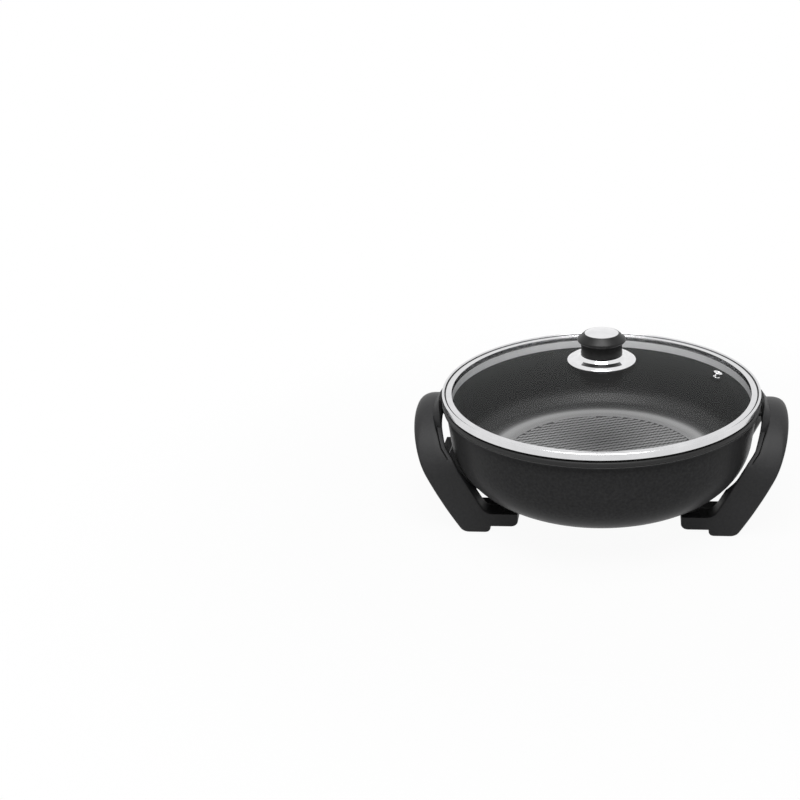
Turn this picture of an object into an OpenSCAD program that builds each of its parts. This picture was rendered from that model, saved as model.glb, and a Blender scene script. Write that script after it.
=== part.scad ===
// Round electric frying pan with a lift-off glass lid.
// A cast pan hangs in a drawn shell, with the heating plate between them. Two arches are grip, leg and foot
// in one, and a socket on the left wall takes a plug-in thermostat.
// Millimetres, +Z up. The table is at z = 0 and the origin is under the middle of the pan.

/* [Pan] */
// Inside diameter of the pan at its rim
mouth_d = 296; // [270:1:320]
// Depth of the pan from the rim to the cooking floor
pan_depth = 69; // [60:1:85]
// Thickness of the pan wall
pan_wall = 3; // [2:0.5:5]
// Thickness of the cooking floor
floor_t = 4; // [3:0.5:6]
// Inside radius between the wall and the cooking floor
pan_corner_r = 32; // [20:1:36]
// Lean of the pan and shell walls from upright, in degrees
wall_lean = 6; // [3:0.5:8]
// How far the lip stands out from the mouth
lip_w = 7.4; // [6.8:0.1:12]
// Thickness of the lip
lip_t = 5; // [3:0.1:6]
// Width of the bead that carries the lid
bead_w = 3.3; // [2:0.1:5]
// Height of that bead
bead_h = 1.5; // [1:0.1:3]
// Radius of the ring groove in the cooking floor
floor_ring_r = 102; // [80:1:106]
// Half width of that groove
floor_ring_half = 0.8; // [0.4:0.1:1.5]

/* [Outer shell] */
// Sheet thickness of the shell
shell_t = 1; // [0.6:0.1:2]
// Gap between the pan wall and the shell under the lip
shell_gap = 0.9; // [0.5:0.1:2]
// Outside radius between the shell's wall and its bottom
shell_corner_r = 57; // [45:1:62]
// How far the shell's top flange reaches out under the lip
shell_flange_w = 2.2; // [1.5:0.1:3]
// Thickness of the gasket between lip and shell
gasket_t = 0.5; // [0.3:0.1:1.5]

/* [Heating] */
// Height of the space between the cooking floor and the shell's bottom
heat_room = 17; // [16:0.5:24]
// Thickness of the heating plate
plate_t = 9; // [8.5:0.5:10]
// Radius of the heating plate
plate_r = 92; // [84:1:98]
// Radius of the heating element's ring
element_ring_r = 72; // [62:1:78]
// Diameter of the element's sheath
element_d = 6.6; // [5:0.1:7.5]
// Radius of the circle of pan studs
stud_ring_r = 45; // [35:1:52]
// Diameter of a pan stud
stud_d = 4; // [3:0.5:5]
// Width of a plate nut across its corners
nut_d = 8.1; // [7:0.1:10]
// Height of a plate nut
nut_h = 3.2; // [2.5:0.1:3.6]
// Height of the reflector's seat over the shell's bottom
reflector_lift = 3; // [2:0.1:3.4]
// Sheet thickness of the reflector
reflector_t = 0.6; // [0.4:0.1:1]
// Radius of the reflector
reflector_r = 88; // [70:1:92]
// Diameter of the centre bolt
bolt_d = 6; // [5:0.5:8]
// Diameter of the centre washer
washer_d = 26; // [20:1:34]
// Thickness of the centre washer
washer_t = 1.6; // [1:0.1:3]
// Height of the centre bolt's head
bolt_head_h = 3.5; // [2:0.1:5]

/* [Socket] */
// Bore of the thermostat probe's sleeve
probe_d = 8.4; // [7:0.1:9]
// Wall of that sleeve
sleeve_wall = 1; // [0.6:0.1:1.5]
// Metal left between the sleeve and the cooking floor
sleeve_cover = 0.8; // [0.5:0.1:1.5]
// Length of the sleeve from its mouth to its inner end
sleeve_l = 88; // [76:1:94]
// Diameter of a power pin
pin_d = 4.8; // [4:0.1:6]
// Distance between the power pins
pin_pitch = 27; // [25:0.5:30]
// Length of a pin's contact end
pin_reach = 13; // [10:0.5:15]
// Diameter of a pin's root in its insulator
pin_root_d = 3.8; // [3:0.1:4.4]
// Diameter of a pin insulator
insulator_d = 11; // [9:0.5:12]
// Width of the shroud
shroud_w = 54; // [52:1:60]
// Depth of the shroud's cavity in front of its back wall
shroud_depth = 21; // [18:0.5:24]
// Height of the shroud's roof over the probe's axis
shroud_rise = 27; // [24:0.5:30]
// Depth of the shroud's floor under the probe's axis
shroud_drop = 15; // [14:0.5:17]
// Height of the shroud's mouth over the probe's axis
mouth_rise = 16; // [13:0.5:20]
// Length of the level stretch of the shroud's roof at its mouth
roof_level = 8; // [5:0.5:9]
// Wall of the shroud
shroud_wall = 3; // [2:0.25:4]
// Sheet thickness of the socket's bracket
bracket_t = 1.5; // [1:0.1:2.5]
// Gap between the shell and the bracket at the probe's height
bracket_gap = 8; // [6:0.5:10]
// Diameter of a shroud screw
shroud_screw_d = 3; // [2.5:0.1:3.5]

/* [Handles] */
// Width of a handle arch from its front leg to its back leg
handle_w = 140; // [124:1:160]
// How far the arch's crest lies under the rim
crest_drop = 8; // [7:0.5:12]
// Height of the arch's curved crown
crown_h = 45; // [38:1:52]
// Thickness of the crown under its crest
crown_t = 17; // [15:0.5:20]
// Thickness of a leg along the arch
leg_t = 19; // [15:0.5:24]
// Lean of the legs from upright, in degrees
leg_lean = 28.4; // [26:0.2:31]
// Width of a leg at the table
leg_w = 33.7; // [30:0.1:38]
// Width of the grip near the crest
grip_w = 27; // [25:0.1:31]
// Radius of the handle's long outer curve
outer_curve_r = 400; // [320:10:600]
// Radius of the crown's rounded outer side
grip_edge_r = 20; // [16:0.5:26]
// Width of that rounding across the crown
grip_edge_w = 13.4; // [9:0.2:15]
// Gap between the shell's top and the grip's inner edge
handle_gap = 2.5; // [1.5:0.1:4]
// Least gap between a handle's legs and the shell's wall
handle_clear = 3; // [2:0.1:4]
// Gap between the shell's top and the upright inner side of the grip
grip_gap = 4.4; // [3.5:0.1:6]
// Width of the finger strip along the grip's inner edge
strip_w = 7; // [4:0.5:9]
// Depth of the finger strip at its upper end
strip_d = 6; // [3:0.5:8]
// Half width of the ear that rises to the lip
ear_half = 38; // [32:0.5:42]
// Radius of the ear's upper corners
ear_end_r = 30; // [20:0.5:32]
// Width of the ear's flat top
ear_flat = 0.6; // [0.4:0.1:2]
// Slope of the ear's outer side, in degrees
ear_slope = 62; // [50:1:66]
// Gap between the ear and the lip
ear_gap = 3.2; // [2:0.1:4]

/* [Feet] */
// Height of a foot under its pad
foot_h = 7; // [5:0.5:10]
// Thickness of a foot pad
pad_t = 13; // [11:0.5:16]
// Depth of a foot pad along the arch
pad_depth = 34; // [30:0.5:40]
// How far a pad reaches in under the bowl from its leg
pad_reach = 31; // [29:0.5:36]
// Height of the spacer between a pad and the shell
boss_h = 8; // [6:0.5:12]
// Diameter of that spacer
boss_d = 15; // [13:0.5:18]
// Diameter of a foot or handle screw
screw_d = 4; // [3:0.5:5]
// How far a rubber foot stands out
rubber_out = 1; // [0.5:0.1:2]
// How deep a rubber foot sits in its foot
rubber_in = 2; // [1:0.1:3]

/* [Lid] */
// Height of the lid's glass over its edge
dome_h = 30; // [24:0.2:34]
// Thickness of the glass
glass_t = 3.6; // [3:0.1:5]
// How far the band stops short of the lip's edge
band_inset = 0.4; // [0.2:0.1:3]
// Sheet thickness of the band
band_t = 0.8; // [0.5:0.1:1.2]
// Width of the band on top of the glass
band_w = 9.2; // [7:0.1:11]
// How far the band's skirt drops into the mouth
skirt_drop = 8; // [6:0.5:15]
// Gap between that skirt's foot and the pan's wall
skirt_gap = 0.6; // [0.4:0.1:1.2]
// Gap between the lid and the bead that carries it
lid_gap = 0.3; // [0.2:0.05:0.5]
// Distance of the steam vent from the middle
vent_r = 114; // [80:1:120]
// Direction of the steam vent, in degrees from the right
vent_angle = 5; // [-40:1:40]
// Outside diameter of the vent's eyelet
vent_d = 10; // [9:0.5:12]
// Bore of the vent
vent_bore = 3.6; // [3:0.1:4.5]

/* [Knob] */
// Diameter of the bright skirt under the knob
knob_skirt_d = 66.4; // [60:0.2:76]
// Height of that skirt
knob_skirt_h = 8.4; // [7.5:0.1:12]
// Diameter of the knob's stem
stem_d = 40.8; // [36:0.2:46]
// Height of the knob's stem under its flange
stem_h = 13.6; // [10:0.1:16]
// Diameter of the knob's flange
flange_d = 47.2; // [44:0.2:56]
// Height of the knob's sloped top over its flange
slope_h = 6; // [4:0.1:9]
// Diameter of the bright cap
cap_d = 32.6; // [26:0.2:36]
// Height of the cap's crown
cap_h = 3; // [2:0.1:5]
// Diameter of the knob screw
knob_screw_d = 5; // [4:0.5:6]
// Thickness of each knob seal
seal_t = 1.5; // [1:0.1:2]

/* [Hidden] */
$fn = 96;
// Clearance of a part in the hole or groove that it passes through
fit_gap = 0.2;
// A cut reaches this far past the face that it opens
over = 1;

// Heights from the table up
pad_bottom_z = rubber_out + foot_h;
pad_top_z = pad_bottom_z + pad_t;
shell_z = pad_top_z + boss_h;
heat_z = shell_z + shell_t;
floor_z = heat_z + heat_room + floor_t;
plate_top_z = floor_z - floor_t;
plate_z = plate_top_z - plate_t;
rim_z = floor_z + pan_depth;
lip_z = rim_z - lip_t;
shell_top_z = lip_z - gasket_t;
crest_z = rim_z - crest_drop;
shoulder_z = crest_z - crown_h;

// Pan and shell radii
mouth_r = mouth_d / 2;
lip_r = mouth_r + lip_w;
pan_top_r = mouth_r + pan_wall / cos(wall_lean);
shell_in_r = pan_top_r - (rim_z - shell_top_z) * tan(wall_lean) + shell_gap;
shell_top_r = shell_in_r + shell_t / cos(wall_lean);

// Radius at height z of a bowl with leaning walls and a rounded bottom edge
function bowl_centre_r(top_r, top_z, base_z, corner_r) =
    top_r - (top_z - base_z - corner_r) * tan(wall_lean) - corner_r / cos(wall_lean);
function bowl_r(top_r, top_z, base_z, corner_r, z) =
    z > base_z + corner_r * (1 - sin(wall_lean))
        ? top_r - (top_z - z) * tan(wall_lean)
        : bowl_centre_r(top_r, top_z, base_z, corner_r)
            + sqrt(max(0, pow(corner_r, 2) - pow(base_z + corner_r - z, 2)));
shell_centre_r = bowl_centre_r(shell_top_r, shell_top_z, shell_z, shell_corner_r);
function shell_r(z) = bowl_r(shell_top_r, shell_top_z, shell_z, shell_corner_r, z);

// Half section of that bowl, filled
module bowl_half(top_r, top_z, base_z, corner_r) {
    centre_z = base_z + corner_r;
    centre_r = bowl_centre_r(top_r, top_z, base_z, corner_r);
    intersection() {
        translate([0, base_z])
            square([top_r, top_z - base_z]);
        union() {
            polygon([
                [0, base_z],
                [centre_r, base_z],
                [centre_r, centre_z],
                [centre_r + corner_r * cos(wall_lean), centre_z - corner_r * sin(wall_lean)],
                [top_r, top_z],
                [0, top_z]
            ]);
            translate([centre_r, centre_z])
                circle(corner_r);
        }
    }
}

// The shell's outside, filled
module shell_outside() {
    rotate_extrude()
        bowl_half(shell_top_r, shell_top_z, shell_z, shell_corner_r);
}

// Places its children on the four foot pads, or at both sides
module at_feet() {
    for (side = [-1, 1], end = [-1, 1])
        translate([side * boss_x, end * boss_y, 0])
            children();
}
module at_sides() {
    for (side = [0, 1])
        mirror([side, 0, 0])
            children();
}

// Draws a section in X and Z through a depth along Y, and a section in Y and Z through a width along X
module along_y(depth) {
    rotate([90, 0, 0])
        linear_extrude(depth, center = true)
            children();
}
module along_x(width) {
    rotate([90, 0, 90])
        linear_extrude(width)
            children();
}

// A round bar from x0 out to x1 on the left side, at height z
module left_bar(r, x0, x1, y, z) {
    translate([-x1, y, z])
        rotate([0, 90, 0])
            cylinder(r = r, h = x1 - x0);
}

// Pan
stud_r = stud_d / 2;
stud_angles = [0, 120, 240];
nut_margin = 0.6;
stud_l = plate_t + nut_h + nut_margin;

module inner_pan() {
    color("#4a4a4c") {
        rotate_extrude()
            difference() {
                union() {
                    bowl_half(pan_top_r, rim_z, floor_z - floor_t, pan_corner_r + pan_wall);
                    translate([0, lip_z])
                        square([lip_r - lip_t / 2, lip_t]);
                    translate([lip_r - lip_t / 2, rim_z - lip_t / 2])
                        circle(lip_t / 2);
                    translate([0, rim_z])
                        square([mouth_r + bead_w, bead_h]);
                }
                bowl_half(mouth_r, rim_z, floor_z, pan_corner_r);
                translate([0, rim_z - over])
                    square([mouth_r, bead_h + 2 * over]);
                translate([floor_ring_r, floor_z])
                    circle(floor_ring_half);
            }
        for (a = stud_angles)
            rotate(a)
                translate([stud_ring_r, 0, plate_top_z - stud_l])
                    cylinder(r = stud_r, h = stud_l + floor_t / 2);
    }
}

// Shell, with holes for the socket, the centre bolt and the foot screws
module outer_shell() {
    color("#2c2c2e")
        difference() {
            rotate_extrude()
                difference() {
                    union() {
                        bowl_half(shell_top_r, shell_top_z, shell_z, shell_corner_r);
                        translate([0, shell_top_z - shell_t])
                            square([shell_top_r + shell_flange_w, shell_t]);
                    }
                    bowl_half(shell_in_r, shell_top_z, shell_z + shell_t, shell_corner_r - shell_t);
                }
            for (y = pin_ys)
                left_bar(insulator_r + fit_gap, plate_r, bracket_x, y, inlet_z);
            left_bar(sleeve_r + fit_gap, plate_r, bracket_x, 0, inlet_z);
            translate([0, 0, shell_z - over])
                cylinder(r = bolt_r + fit_gap, h = shell_t + 2 * over);
            at_feet()
                translate([0, 0, pad_top_z])
                    cylinder(r = screw_r + fit_gap, h = screw_top_z - pad_top_z);
        }
}

module rim_gasket() {
    color("#5a5a5a")
        rotate_extrude()
            translate([shell_in_r, shell_top_z])
                square([shell_top_r + shell_flange_w - shell_in_r, gasket_t]);
}

// Heating plate under the cooking floor, with grooves for the element and the probe's sleeve
element_r = element_d / 2;
sleeve_r = probe_d / 2 + sleeve_wall;
inlet_z = plate_top_z - sleeve_cover - sleeve_r;
pin_ys = [-pin_pitch / 2, pin_pitch / 2];
// Each end of the ring reaches past the terminal bar that is welded into it
element_bar_r = element_r * 0.8;
element_bar_x = sqrt(pow(element_ring_r, 2) - pow(pin_pitch / 2, 2));
element_end = asin((pin_pitch / 2 - element_r) / element_ring_r);

// A groove in the plate's underside from x0 out to the left
module left_groove(r, x0, y) {
    left_bar(r, x0, plate_r + over, y, inlet_z);
    translate([-plate_r - over, y - r, plate_z - over])
        cube([plate_r + over - x0, 2 * r, inlet_z - plate_z + over]);
}

module heating_plate() {
    groove_r = element_r + fit_gap;
    color("#b4b6b8")
        difference() {
            translate([0, 0, plate_z])
                cylinder(r = plate_r, h = plate_t);
            rotate_extrude() {
                translate([element_ring_r, inlet_z])
                    circle(groove_r);
                translate([element_ring_r - groove_r, plate_z - over])
                    square([2 * groove_r, inlet_z - plate_z + over]);
            }
            for (y = pin_ys)
                left_groove(element_bar_r + fit_gap, element_bar_x, y);
            left_groove(sleeve_r + fit_gap, sleeve_end_x - fit_gap, 0);
            for (a = stud_angles)
                rotate(a)
                    translate([stud_ring_r, 0, plate_z - over])
                        cylinder(r = stud_r + fit_gap, h = plate_t + 2 * over);
            translate([0, 0, plate_z - over])
                cylinder(r = bolt_r, h = bolt_thread + over);
        }
}

// Sheathed element: a ring with a gap at the left, whose ends run out to the power pins
module heating_element() {
    color("#6e6a66")
        translate([0, 0, inlet_z]) {
            rotate(180 + element_end)
                rotate_extrude(angle = 360 - 2 * element_end)
                    translate([element_ring_r, 0])
                        circle(element_r);
            for (y = pin_ys)
                left_bar(element_bar_r, element_bar_x, pin_root_x, y, 0);
        }
}

module plate_nuts() {
    color("#c8c9cb")
        for (a = stud_angles)
            rotate(a)
                translate([stud_ring_r, 0, plate_z - nut_h])
                    difference() {
                        cylinder(d = nut_d, h = nut_h, $fn = 6);
                        translate([0, 0, -over])
                            cylinder(r = stud_r, h = nut_h + 2 * over);
                    }
}

// Reflector on the shoulder of the spacer, and the bolt that draws shell and plate together
bolt_r = bolt_d / 2;
bolt_thread = plate_t - 2.5;
spacer_r = bolt_r + 3.5;
spacer_foot_r = spacer_r + 3;
reflector_rim = 2;
bolt_head_r = bolt_r * 1.8;

module heat_reflector() {
    color("#cfd0d2")
        translate([0, 0, heat_z + reflector_lift])
            rotate_extrude() {
                translate([spacer_r + fit_gap, 0])
                    square([reflector_r - spacer_r - fit_gap, reflector_t]);
                translate([reflector_r - reflector_t, 0])
                    square([reflector_t, reflector_rim]);
            }
}

module centre_spacer() {
    color("#c8c9cb")
        translate([0, 0, heat_z])
            difference() {
                union() {
                    cylinder(r = spacer_foot_r, h = reflector_lift);
                    cylinder(r = spacer_r, h = plate_z - heat_z);
                }
                translate([0, 0, -over])
                    cylinder(r = bolt_r + fit_gap, h = plate_z - heat_z + 2 * over);
            }
}

module centre_washer() {
    color("#c8c9cb")
        translate([0, 0, shell_z - washer_t])
            difference() {
                cylinder(d = washer_d, h = washer_t);
                translate([0, 0, -over])
                    cylinder(r = bolt_r + fit_gap, h = washer_t + 2 * over);
            }
}

module centre_bolt() {
    head_z = shell_z - washer_t - bolt_head_h;
    color("#d4d5d7") {
        translate([0, 0, head_z])
            cylinder(r = bolt_head_r, h = bolt_head_h, $fn = 6);
        translate([0, 0, head_z])
            cylinder(r = bolt_r, h = plate_z + bolt_thread - head_z);
    }
}

// Socket: sleeve, pins and insulators in a bracket on the shell, inside a moulded shroud
insulator_r = insulator_d / 2;
pin_r = pin_d / 2;
pin_root_r = min(pin_root_d / 2, pin_r - 0.3);
pin_gap = 0.5;
insulator_out = 3;
wall_x = shell_r(inlet_z);
pin_root_x = wall_x - 8;
bracket_x = wall_x + bracket_gap;
back_wall_x = bracket_x + bracket_t;
cavity_x = back_wall_x + shroud_wall;
mouth_x = cavity_x + shroud_depth;
sleeve_mouth_x = cavity_x + insulator_out;
pin_contact_x = sleeve_mouth_x + pin_gap;
sleeve_end_x = sleeve_mouth_x - sleeve_l;
shroud_screw_r = shroud_screw_d / 2;
shroud_screw_y = shroud_w / 2 - shroud_wall - 4;
shroud_screw_z = inlet_z - 8;
shroud_low_z = inlet_z - shroud_drop;
shroud_high_z = inlet_z + shroud_rise;
shroud_top_x = shell_r(shroud_high_z) + 1;

module probe_sleeve() {
    color("#c8c9cb")
        difference() {
            left_bar(sleeve_r, sleeve_end_x, sleeve_mouth_x, 0, inlet_z);
            left_bar(probe_d / 2, sleeve_end_x + sleeve_wall, sleeve_mouth_x + over, 0, inlet_z);
        }
}

module power_pins() {
    color("#d8d8da")
        for (y = pin_ys) {
            left_bar(pin_root_r, pin_root_x, pin_contact_x + pin_reach / 2, y, inlet_z);
            left_bar(pin_r, pin_contact_x, pin_contact_x + pin_reach, y, inlet_z);
        }
}

module pin_insulators() {
    color("#ece6da")
        for (y = pin_ys)
            difference() {
                left_bar(insulator_r, pin_root_x, sleeve_mouth_x, y, inlet_z);
                left_bar(pin_root_r, pin_root_x - over, sleeve_mouth_x + over, y, inlet_z);
            }
}

// The holes that bracket and back wall share
module socket_holes() {
    for (y = pin_ys)
        left_bar(insulator_r + fit_gap, bracket_x - over, cavity_x + over, y, inlet_z);
    left_bar(sleeve_r + fit_gap, bracket_x - over, cavity_x + over, 0, inlet_z);
    for (y = [-shroud_screw_y, shroud_screw_y])
        left_bar(shroud_screw_r + fit_gap, bracket_x - over, cavity_x + over, y, shroud_screw_z);
}

module inlet_bracket() {
    half_w = shroud_w / 2 - shroud_wall - fit_gap;
    low_z = shroud_low_z + shroud_wall + fit_gap;
    color("#a9abad")
        difference() {
            translate([-back_wall_x, -half_w, low_z])
                cube([bracket_t, 2 * half_w, shroud_high_z - shroud_wall - fit_gap - low_z]);
            shell_outside();
            socket_holes();
        }
}

// Section of the shroud: flat floor, and a roof that drops from the shell to a level stretch at the mouth
module shroud_section(wall, x0, x1) {
    level_x = mouth_x - roof_level;
    roof_slope = (shroud_rise - mouth_rise) / (level_x - shroud_top_x);
    roof_back = wall * (sqrt(1 + pow(roof_slope, 2)) - 1) / roof_slope;
    polygon([
        [x0, shroud_low_z + wall],
        [x1, shroud_low_z + wall],
        [x1, inlet_z + mouth_rise - wall],
        [level_x - roof_back, inlet_z + mouth_rise - wall],
        [shroud_top_x - roof_back, shroud_high_z - wall],
        [x0, shroud_high_z - wall]
    ]);
}

module inlet_shroud() {
    inner_w = shroud_w - 2 * shroud_wall;
    root_x = pin_root_x - shroud_depth;
    color("#303032")
        difference() {
            mirror([1, 0, 0])
                difference() {
                    along_y(shroud_w)
                        shroud_section(0, root_x, mouth_x);
                    along_y(inner_w)
                        shroud_section(shroud_wall, cavity_x, mouth_x + over);
                    along_y(inner_w)
                        intersection() {
                            shroud_section(shroud_wall, root_x - over, mouth_x);
                            square([back_wall_x, shroud_high_z]);
                        }
                }
            shell_outside();
            socket_holes();
        }
}

module shroud_screws() {
    head_h = 1.8;
    color("#d4d5d7")
        for (y = [-shroud_screw_y, shroud_screw_y]) {
            left_bar(shroud_screw_r, bracket_x - 2, cavity_x + head_h, y, shroud_screw_z);
            left_bar(shroud_screw_r * 1.8, cavity_x, cavity_x + head_h, y, shroud_screw_z);
        }
}

// Handles: a leaning band in X and Z, crossed with an arch in Y and Z
handle_r = handle_w / 2;
grip_line_z = crest_z - 7;
grip_line_x = shell_top_r + handle_gap;
function inner_x(z) = grip_line_x - (grip_line_z - z) * tan(leg_lean);
outer_low = [inner_x(0) + leg_w, 0];
grip_edge_h = grip_edge_r - sqrt(pow(grip_edge_r, 2) - pow(grip_edge_w, 2));
outer_high = [inner_x(crest_z - grip_edge_h) + grip_w, crest_z - grip_edge_h];
outer_mid = (outer_low + outer_high) / 2;
outer_half = norm(outer_high - outer_low) / 2;
outer_normal = [outer_high[1] - outer_low[1], outer_low[0] - outer_high[0]] / (2 * outer_half);
outer_centre = outer_mid - outer_normal * sqrt(pow(outer_curve_r, 2) - pow(outer_half, 2));
foot_inner_x = inner_x(pad_bottom_z) + 3;
pad_inner_x = inner_x(pad_top_z) - pad_reach;
boss_margin = 3;
boss_x = pad_inner_x + boss_d / 2 + boss_margin;
boss_y = handle_r - pad_depth / 2;
strip_start_z = shoulder_z + crown_h * 0.15;
strip_end_y = ear_half - 8;
grip_room_r = shell_top_r + grip_gap;
grip_room_z = shoulder_z + crown_h * 0.38;
ear_x = lip_r + ear_gap;
ear_z = rim_z - lip_t / 3;
far_x = lip_r + grip_w + leg_w;

// Band, pad and foot, seen from the front
module handle_front() {
    edge_centre = [outer_high[0] - grip_edge_w, crest_z - grip_edge_r];
    difference() {
        intersection() {
            polygon([
                [foot_inner_x, rubber_out],
                [far_x, rubber_out],
                [far_x, crest_z],
                [inner_x(crest_z), crest_z],
                [inner_x(pad_top_z), pad_top_z],
                [pad_inner_x, pad_top_z],
                [pad_inner_x, pad_bottom_z],
                [foot_inner_x, pad_bottom_z]
            ]);
            translate(outer_centre)
                circle(outer_curve_r, $fn = 720);
        }
        difference() {
            translate(edge_centre)
                square(far_x);
            translate(edge_centre)
                circle(grip_edge_r);
        }
    }
}

// Legs and a crown through three points, seen from the side
module arch(half_w, low_z, top_z) {
    rise = top_z - low_z;
    crown_r = (pow(rise, 2) + pow(half_w, 2)) / (2 * rise);
    intersection() {
        translate([-half_w, 0])
            square([2 * half_w, top_z + over]);
        union() {
            translate([0, top_z - crown_r])
                circle(crown_r);
            translate([-2 * half_w, 0])
                square([4 * half_w, low_z - 5]);
        }
    }
}

module handle_side() {
    opening_r = handle_r - leg_t;
    pad_gap_r = handle_r - pad_depth;
    difference() {
        arch(handle_r, shoulder_z, crest_z);
        difference() {
            arch(opening_r, shoulder_z - crown_t / 2, crest_z - crown_t);
            square([handle_w, 2 * pad_top_z], center = true);
        }
        translate([-pad_gap_r, 0])
            square([2 * pad_gap_r, pad_top_z + over]);
    }
}

// Inner edge of the grip, cut back for the fingers on both sides of the ear
module finger_strip() {
    depth = handle_r + over - strip_end_y;
    inner_end = inner_x(strip_start_z) - handle_gap - strip_w;
    for (end = [-1, 1])
        translate([0, end * (strip_end_y + depth / 2), 0])
            along_y(depth)
                polygon([
                    [inner_end, strip_start_z],
                    [inner_x(strip_start_z) + strip_w, strip_start_z],
                    [inner_x(crest_z + over) + strip_w, crest_z + over],
                    [inner_end, crest_z + over]
                ]);
}

// Room between the bowl and a handle: it leans beside the legs and stands upright beside the grip
module grip_room() {
    low_z = shoulder_z - 1.5;
    rotate(90)
        rotate_extrude()
            polygon([
                [0, low_z],
                [shell_r(low_z) + handle_clear, low_z],
                [grip_room_r, grip_room_z],
                [grip_room_r, crest_z + over],
                [0, crest_z + over]
            ]);
}

// Flats on the legs' inner corners, beside the shell
module leg_chamfers() {
    opening_r = handle_r - leg_t;
    grown_r = shell_r(shoulder_z) + handle_clear;
    edge_x = inner_x(shoulder_z);
    depth = max(1, sqrt(pow(grown_r, 2) - pow(opening_r, 2)) - edge_x) * cos(leg_lean);
    reach = min(leg_t - 1, max(1, sqrt(pow(grown_r, 2) - pow(edge_x, 2)) - opening_r));
    for (end = [0, 1])
        mirror([0, end, 0])
            translate([inner_x(pad_top_z), opening_r, pad_top_z])
                rotate([0, leg_lean, 0])
                    linear_extrude((shoulder_z + 4 - pad_top_z) / cos(leg_lean))
                        polygon([[depth, 0], [0, reach], [-leg_t, reach], [-leg_t, -leg_t], [depth, -leg_t]]);
}

// Ear on top of the grip: it rises to the lip, follows it round, and slopes down to the crown
module handle_ear() {
    root_z = crest_z - crown_t * 0.9;
    foot_x = ear_x + ear_flat + (ear_z - root_z) / tan(ear_slope);
    corner = [ear_half - ear_end_r, ear_z - ear_end_r];
    difference() {
        intersection() {
            along_y(2 * (ear_half + over))
                polygon([
                    [ear_x - lip_w, root_z],
                    [ear_x - lip_w, ear_z],
                    [ear_x + ear_flat, ear_z],
                    [foot_x, root_z]
                ]);
            along_x(far_x)
                difference() {
                    translate([-ear_half, 0])
                        square([2 * ear_half, ear_z + over]);
                    for (end = [0, 1])
                        mirror([end, 0])
                            difference() {
                                translate(corner)
                                    square(ear_end_r + 2 * over);
                                translate(corner)
                                    circle(ear_end_r);
                            }
                }
        }
        cylinder(r = ear_x, h = rim_z);
    }
}

// Lug and screws that hold a handle
screw_r = screw_d / 2;
screw_head_r = screw_d * 0.95;
screw_head_h = screw_d * 0.7;
lug_half = 11;
lug_t = 3;
lug_reach = 20;
lug_z = crest_z - crown_t / 2 - lug_t / 2;
lug_x = shell_top_r + lug_reach;
lug_screw_x = lug_x - lug_reach / 3;
lug_screw_low_z = crest_z - crown_t;
lug_screw_top_z = lug_z + lug_t + 2;
foot_screw_low_z = pad_bottom_z + screw_head_h;
foot_nut_h = 3;
// Where a boss meets the shell
boss_seat_r = max(0, norm([boss_x, boss_y]) + boss_d / 2 - shell_centre_r);
boss_seat_z = shell_z + shell_corner_r - sqrt(pow(shell_corner_r, 2) - pow(boss_seat_r, 2));
screw_top_z = boss_seat_z + shell_t + foot_nut_h + 1.5;
rubber_x = (foot_inner_x + outer_low[0]) / 2;
rubber_size = [leg_w * 0.6, pad_depth * 0.7];
rubber_r = 4;

module handle() {
    difference() {
        union() {
            difference() {
                intersection() {
                    along_y(handle_w)
                        handle_front();
                    along_x(far_x)
                        handle_side();
                }
                intersection() {
                    finger_strip();
                    difference() {
                        translate([0, -handle_w, shoulder_z])
                            cube([far_x, 2 * handle_w, crest_z]);
                        along_x(far_x)
                            arch(handle_r, shoulder_z, crest_z - strip_d);
                    }
                }
            }
            handle_ear();
        }
        grip_room();
        leg_chamfers();
        translate([0, -lug_half - fit_gap, lug_z - fit_gap])
            cube([lug_x + fit_gap, 2 * (lug_half + fit_gap), lug_t + 2 * fit_gap]);
        translate([lug_screw_x, 0, lug_screw_low_z - crown_t]) {
            cylinder(r = screw_r + fit_gap, h = lug_screw_top_z + over - lug_screw_low_z + crown_t);
            cylinder(r = screw_head_r + fit_gap, h = crown_t + screw_head_h);
        }
        for (end = [-1, 1]) {
            translate([boss_x, end * boss_y, pad_bottom_z - over]) {
                cylinder(r = screw_r + fit_gap, h = pad_t + 2 * over);
                cylinder(r = screw_head_r + fit_gap, h = over + screw_head_h);
            }
            translate([rubber_x, end * boss_y, 0])
                rubber_block(fit_gap);
        }
    }
}

module rubber_block(gap) {
    for (turn = [0, 1])
        translate([0, 0, (rubber_out + rubber_in) / 2])
            cube([
                rubber_size[0] + 2 * gap - 2 * rubber_r * turn,
                rubber_size[1] + 2 * gap - 2 * rubber_r * (1 - turn),
                rubber_out + rubber_in
            ], center = true);
    for (sx = [-1, 1], sy = [-1, 1])
        translate([sx * (rubber_size[0] / 2 - rubber_r), sy * (rubber_size[1] / 2 - rubber_r), 0])
            cylinder(r = rubber_r + gap, h = rubber_out + rubber_in);
}

module right_handle() {
    color("#3c3c3e")
        handle();
}

module left_handle() {
    color("#3c3c3e")
        mirror([1, 0, 0])
            handle();
}

module handle_lugs() {
    color("#9a9c9e")
        at_sides()
            difference() {
                translate([0, -lug_half, lug_z])
                    cube([lug_x, 2 * lug_half, lug_t]);
                shell_outside();
                translate([lug_screw_x, 0, lug_z - over])
                    cylinder(r = screw_r, h = lug_t + 2 * over);
            }
}

module handle_screws() {
    color("#c8c9cb")
        at_sides()
            translate([lug_screw_x, 0, lug_screw_low_z]) {
                cylinder(r = screw_r, h = lug_screw_top_z - lug_screw_low_z);
                cylinder(r = screw_head_r, h = screw_head_h);
            }
}

module foot_bosses() {
    color("#c9c3b6")
        difference() {
            at_feet()
                translate([0, 0, pad_top_z])
                    cylinder(d = boss_d, h = boss_seat_z - pad_top_z);
            shell_outside();
            at_feet()
                cylinder(r = screw_r + fit_gap, h = rim_z);
        }
}

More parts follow.
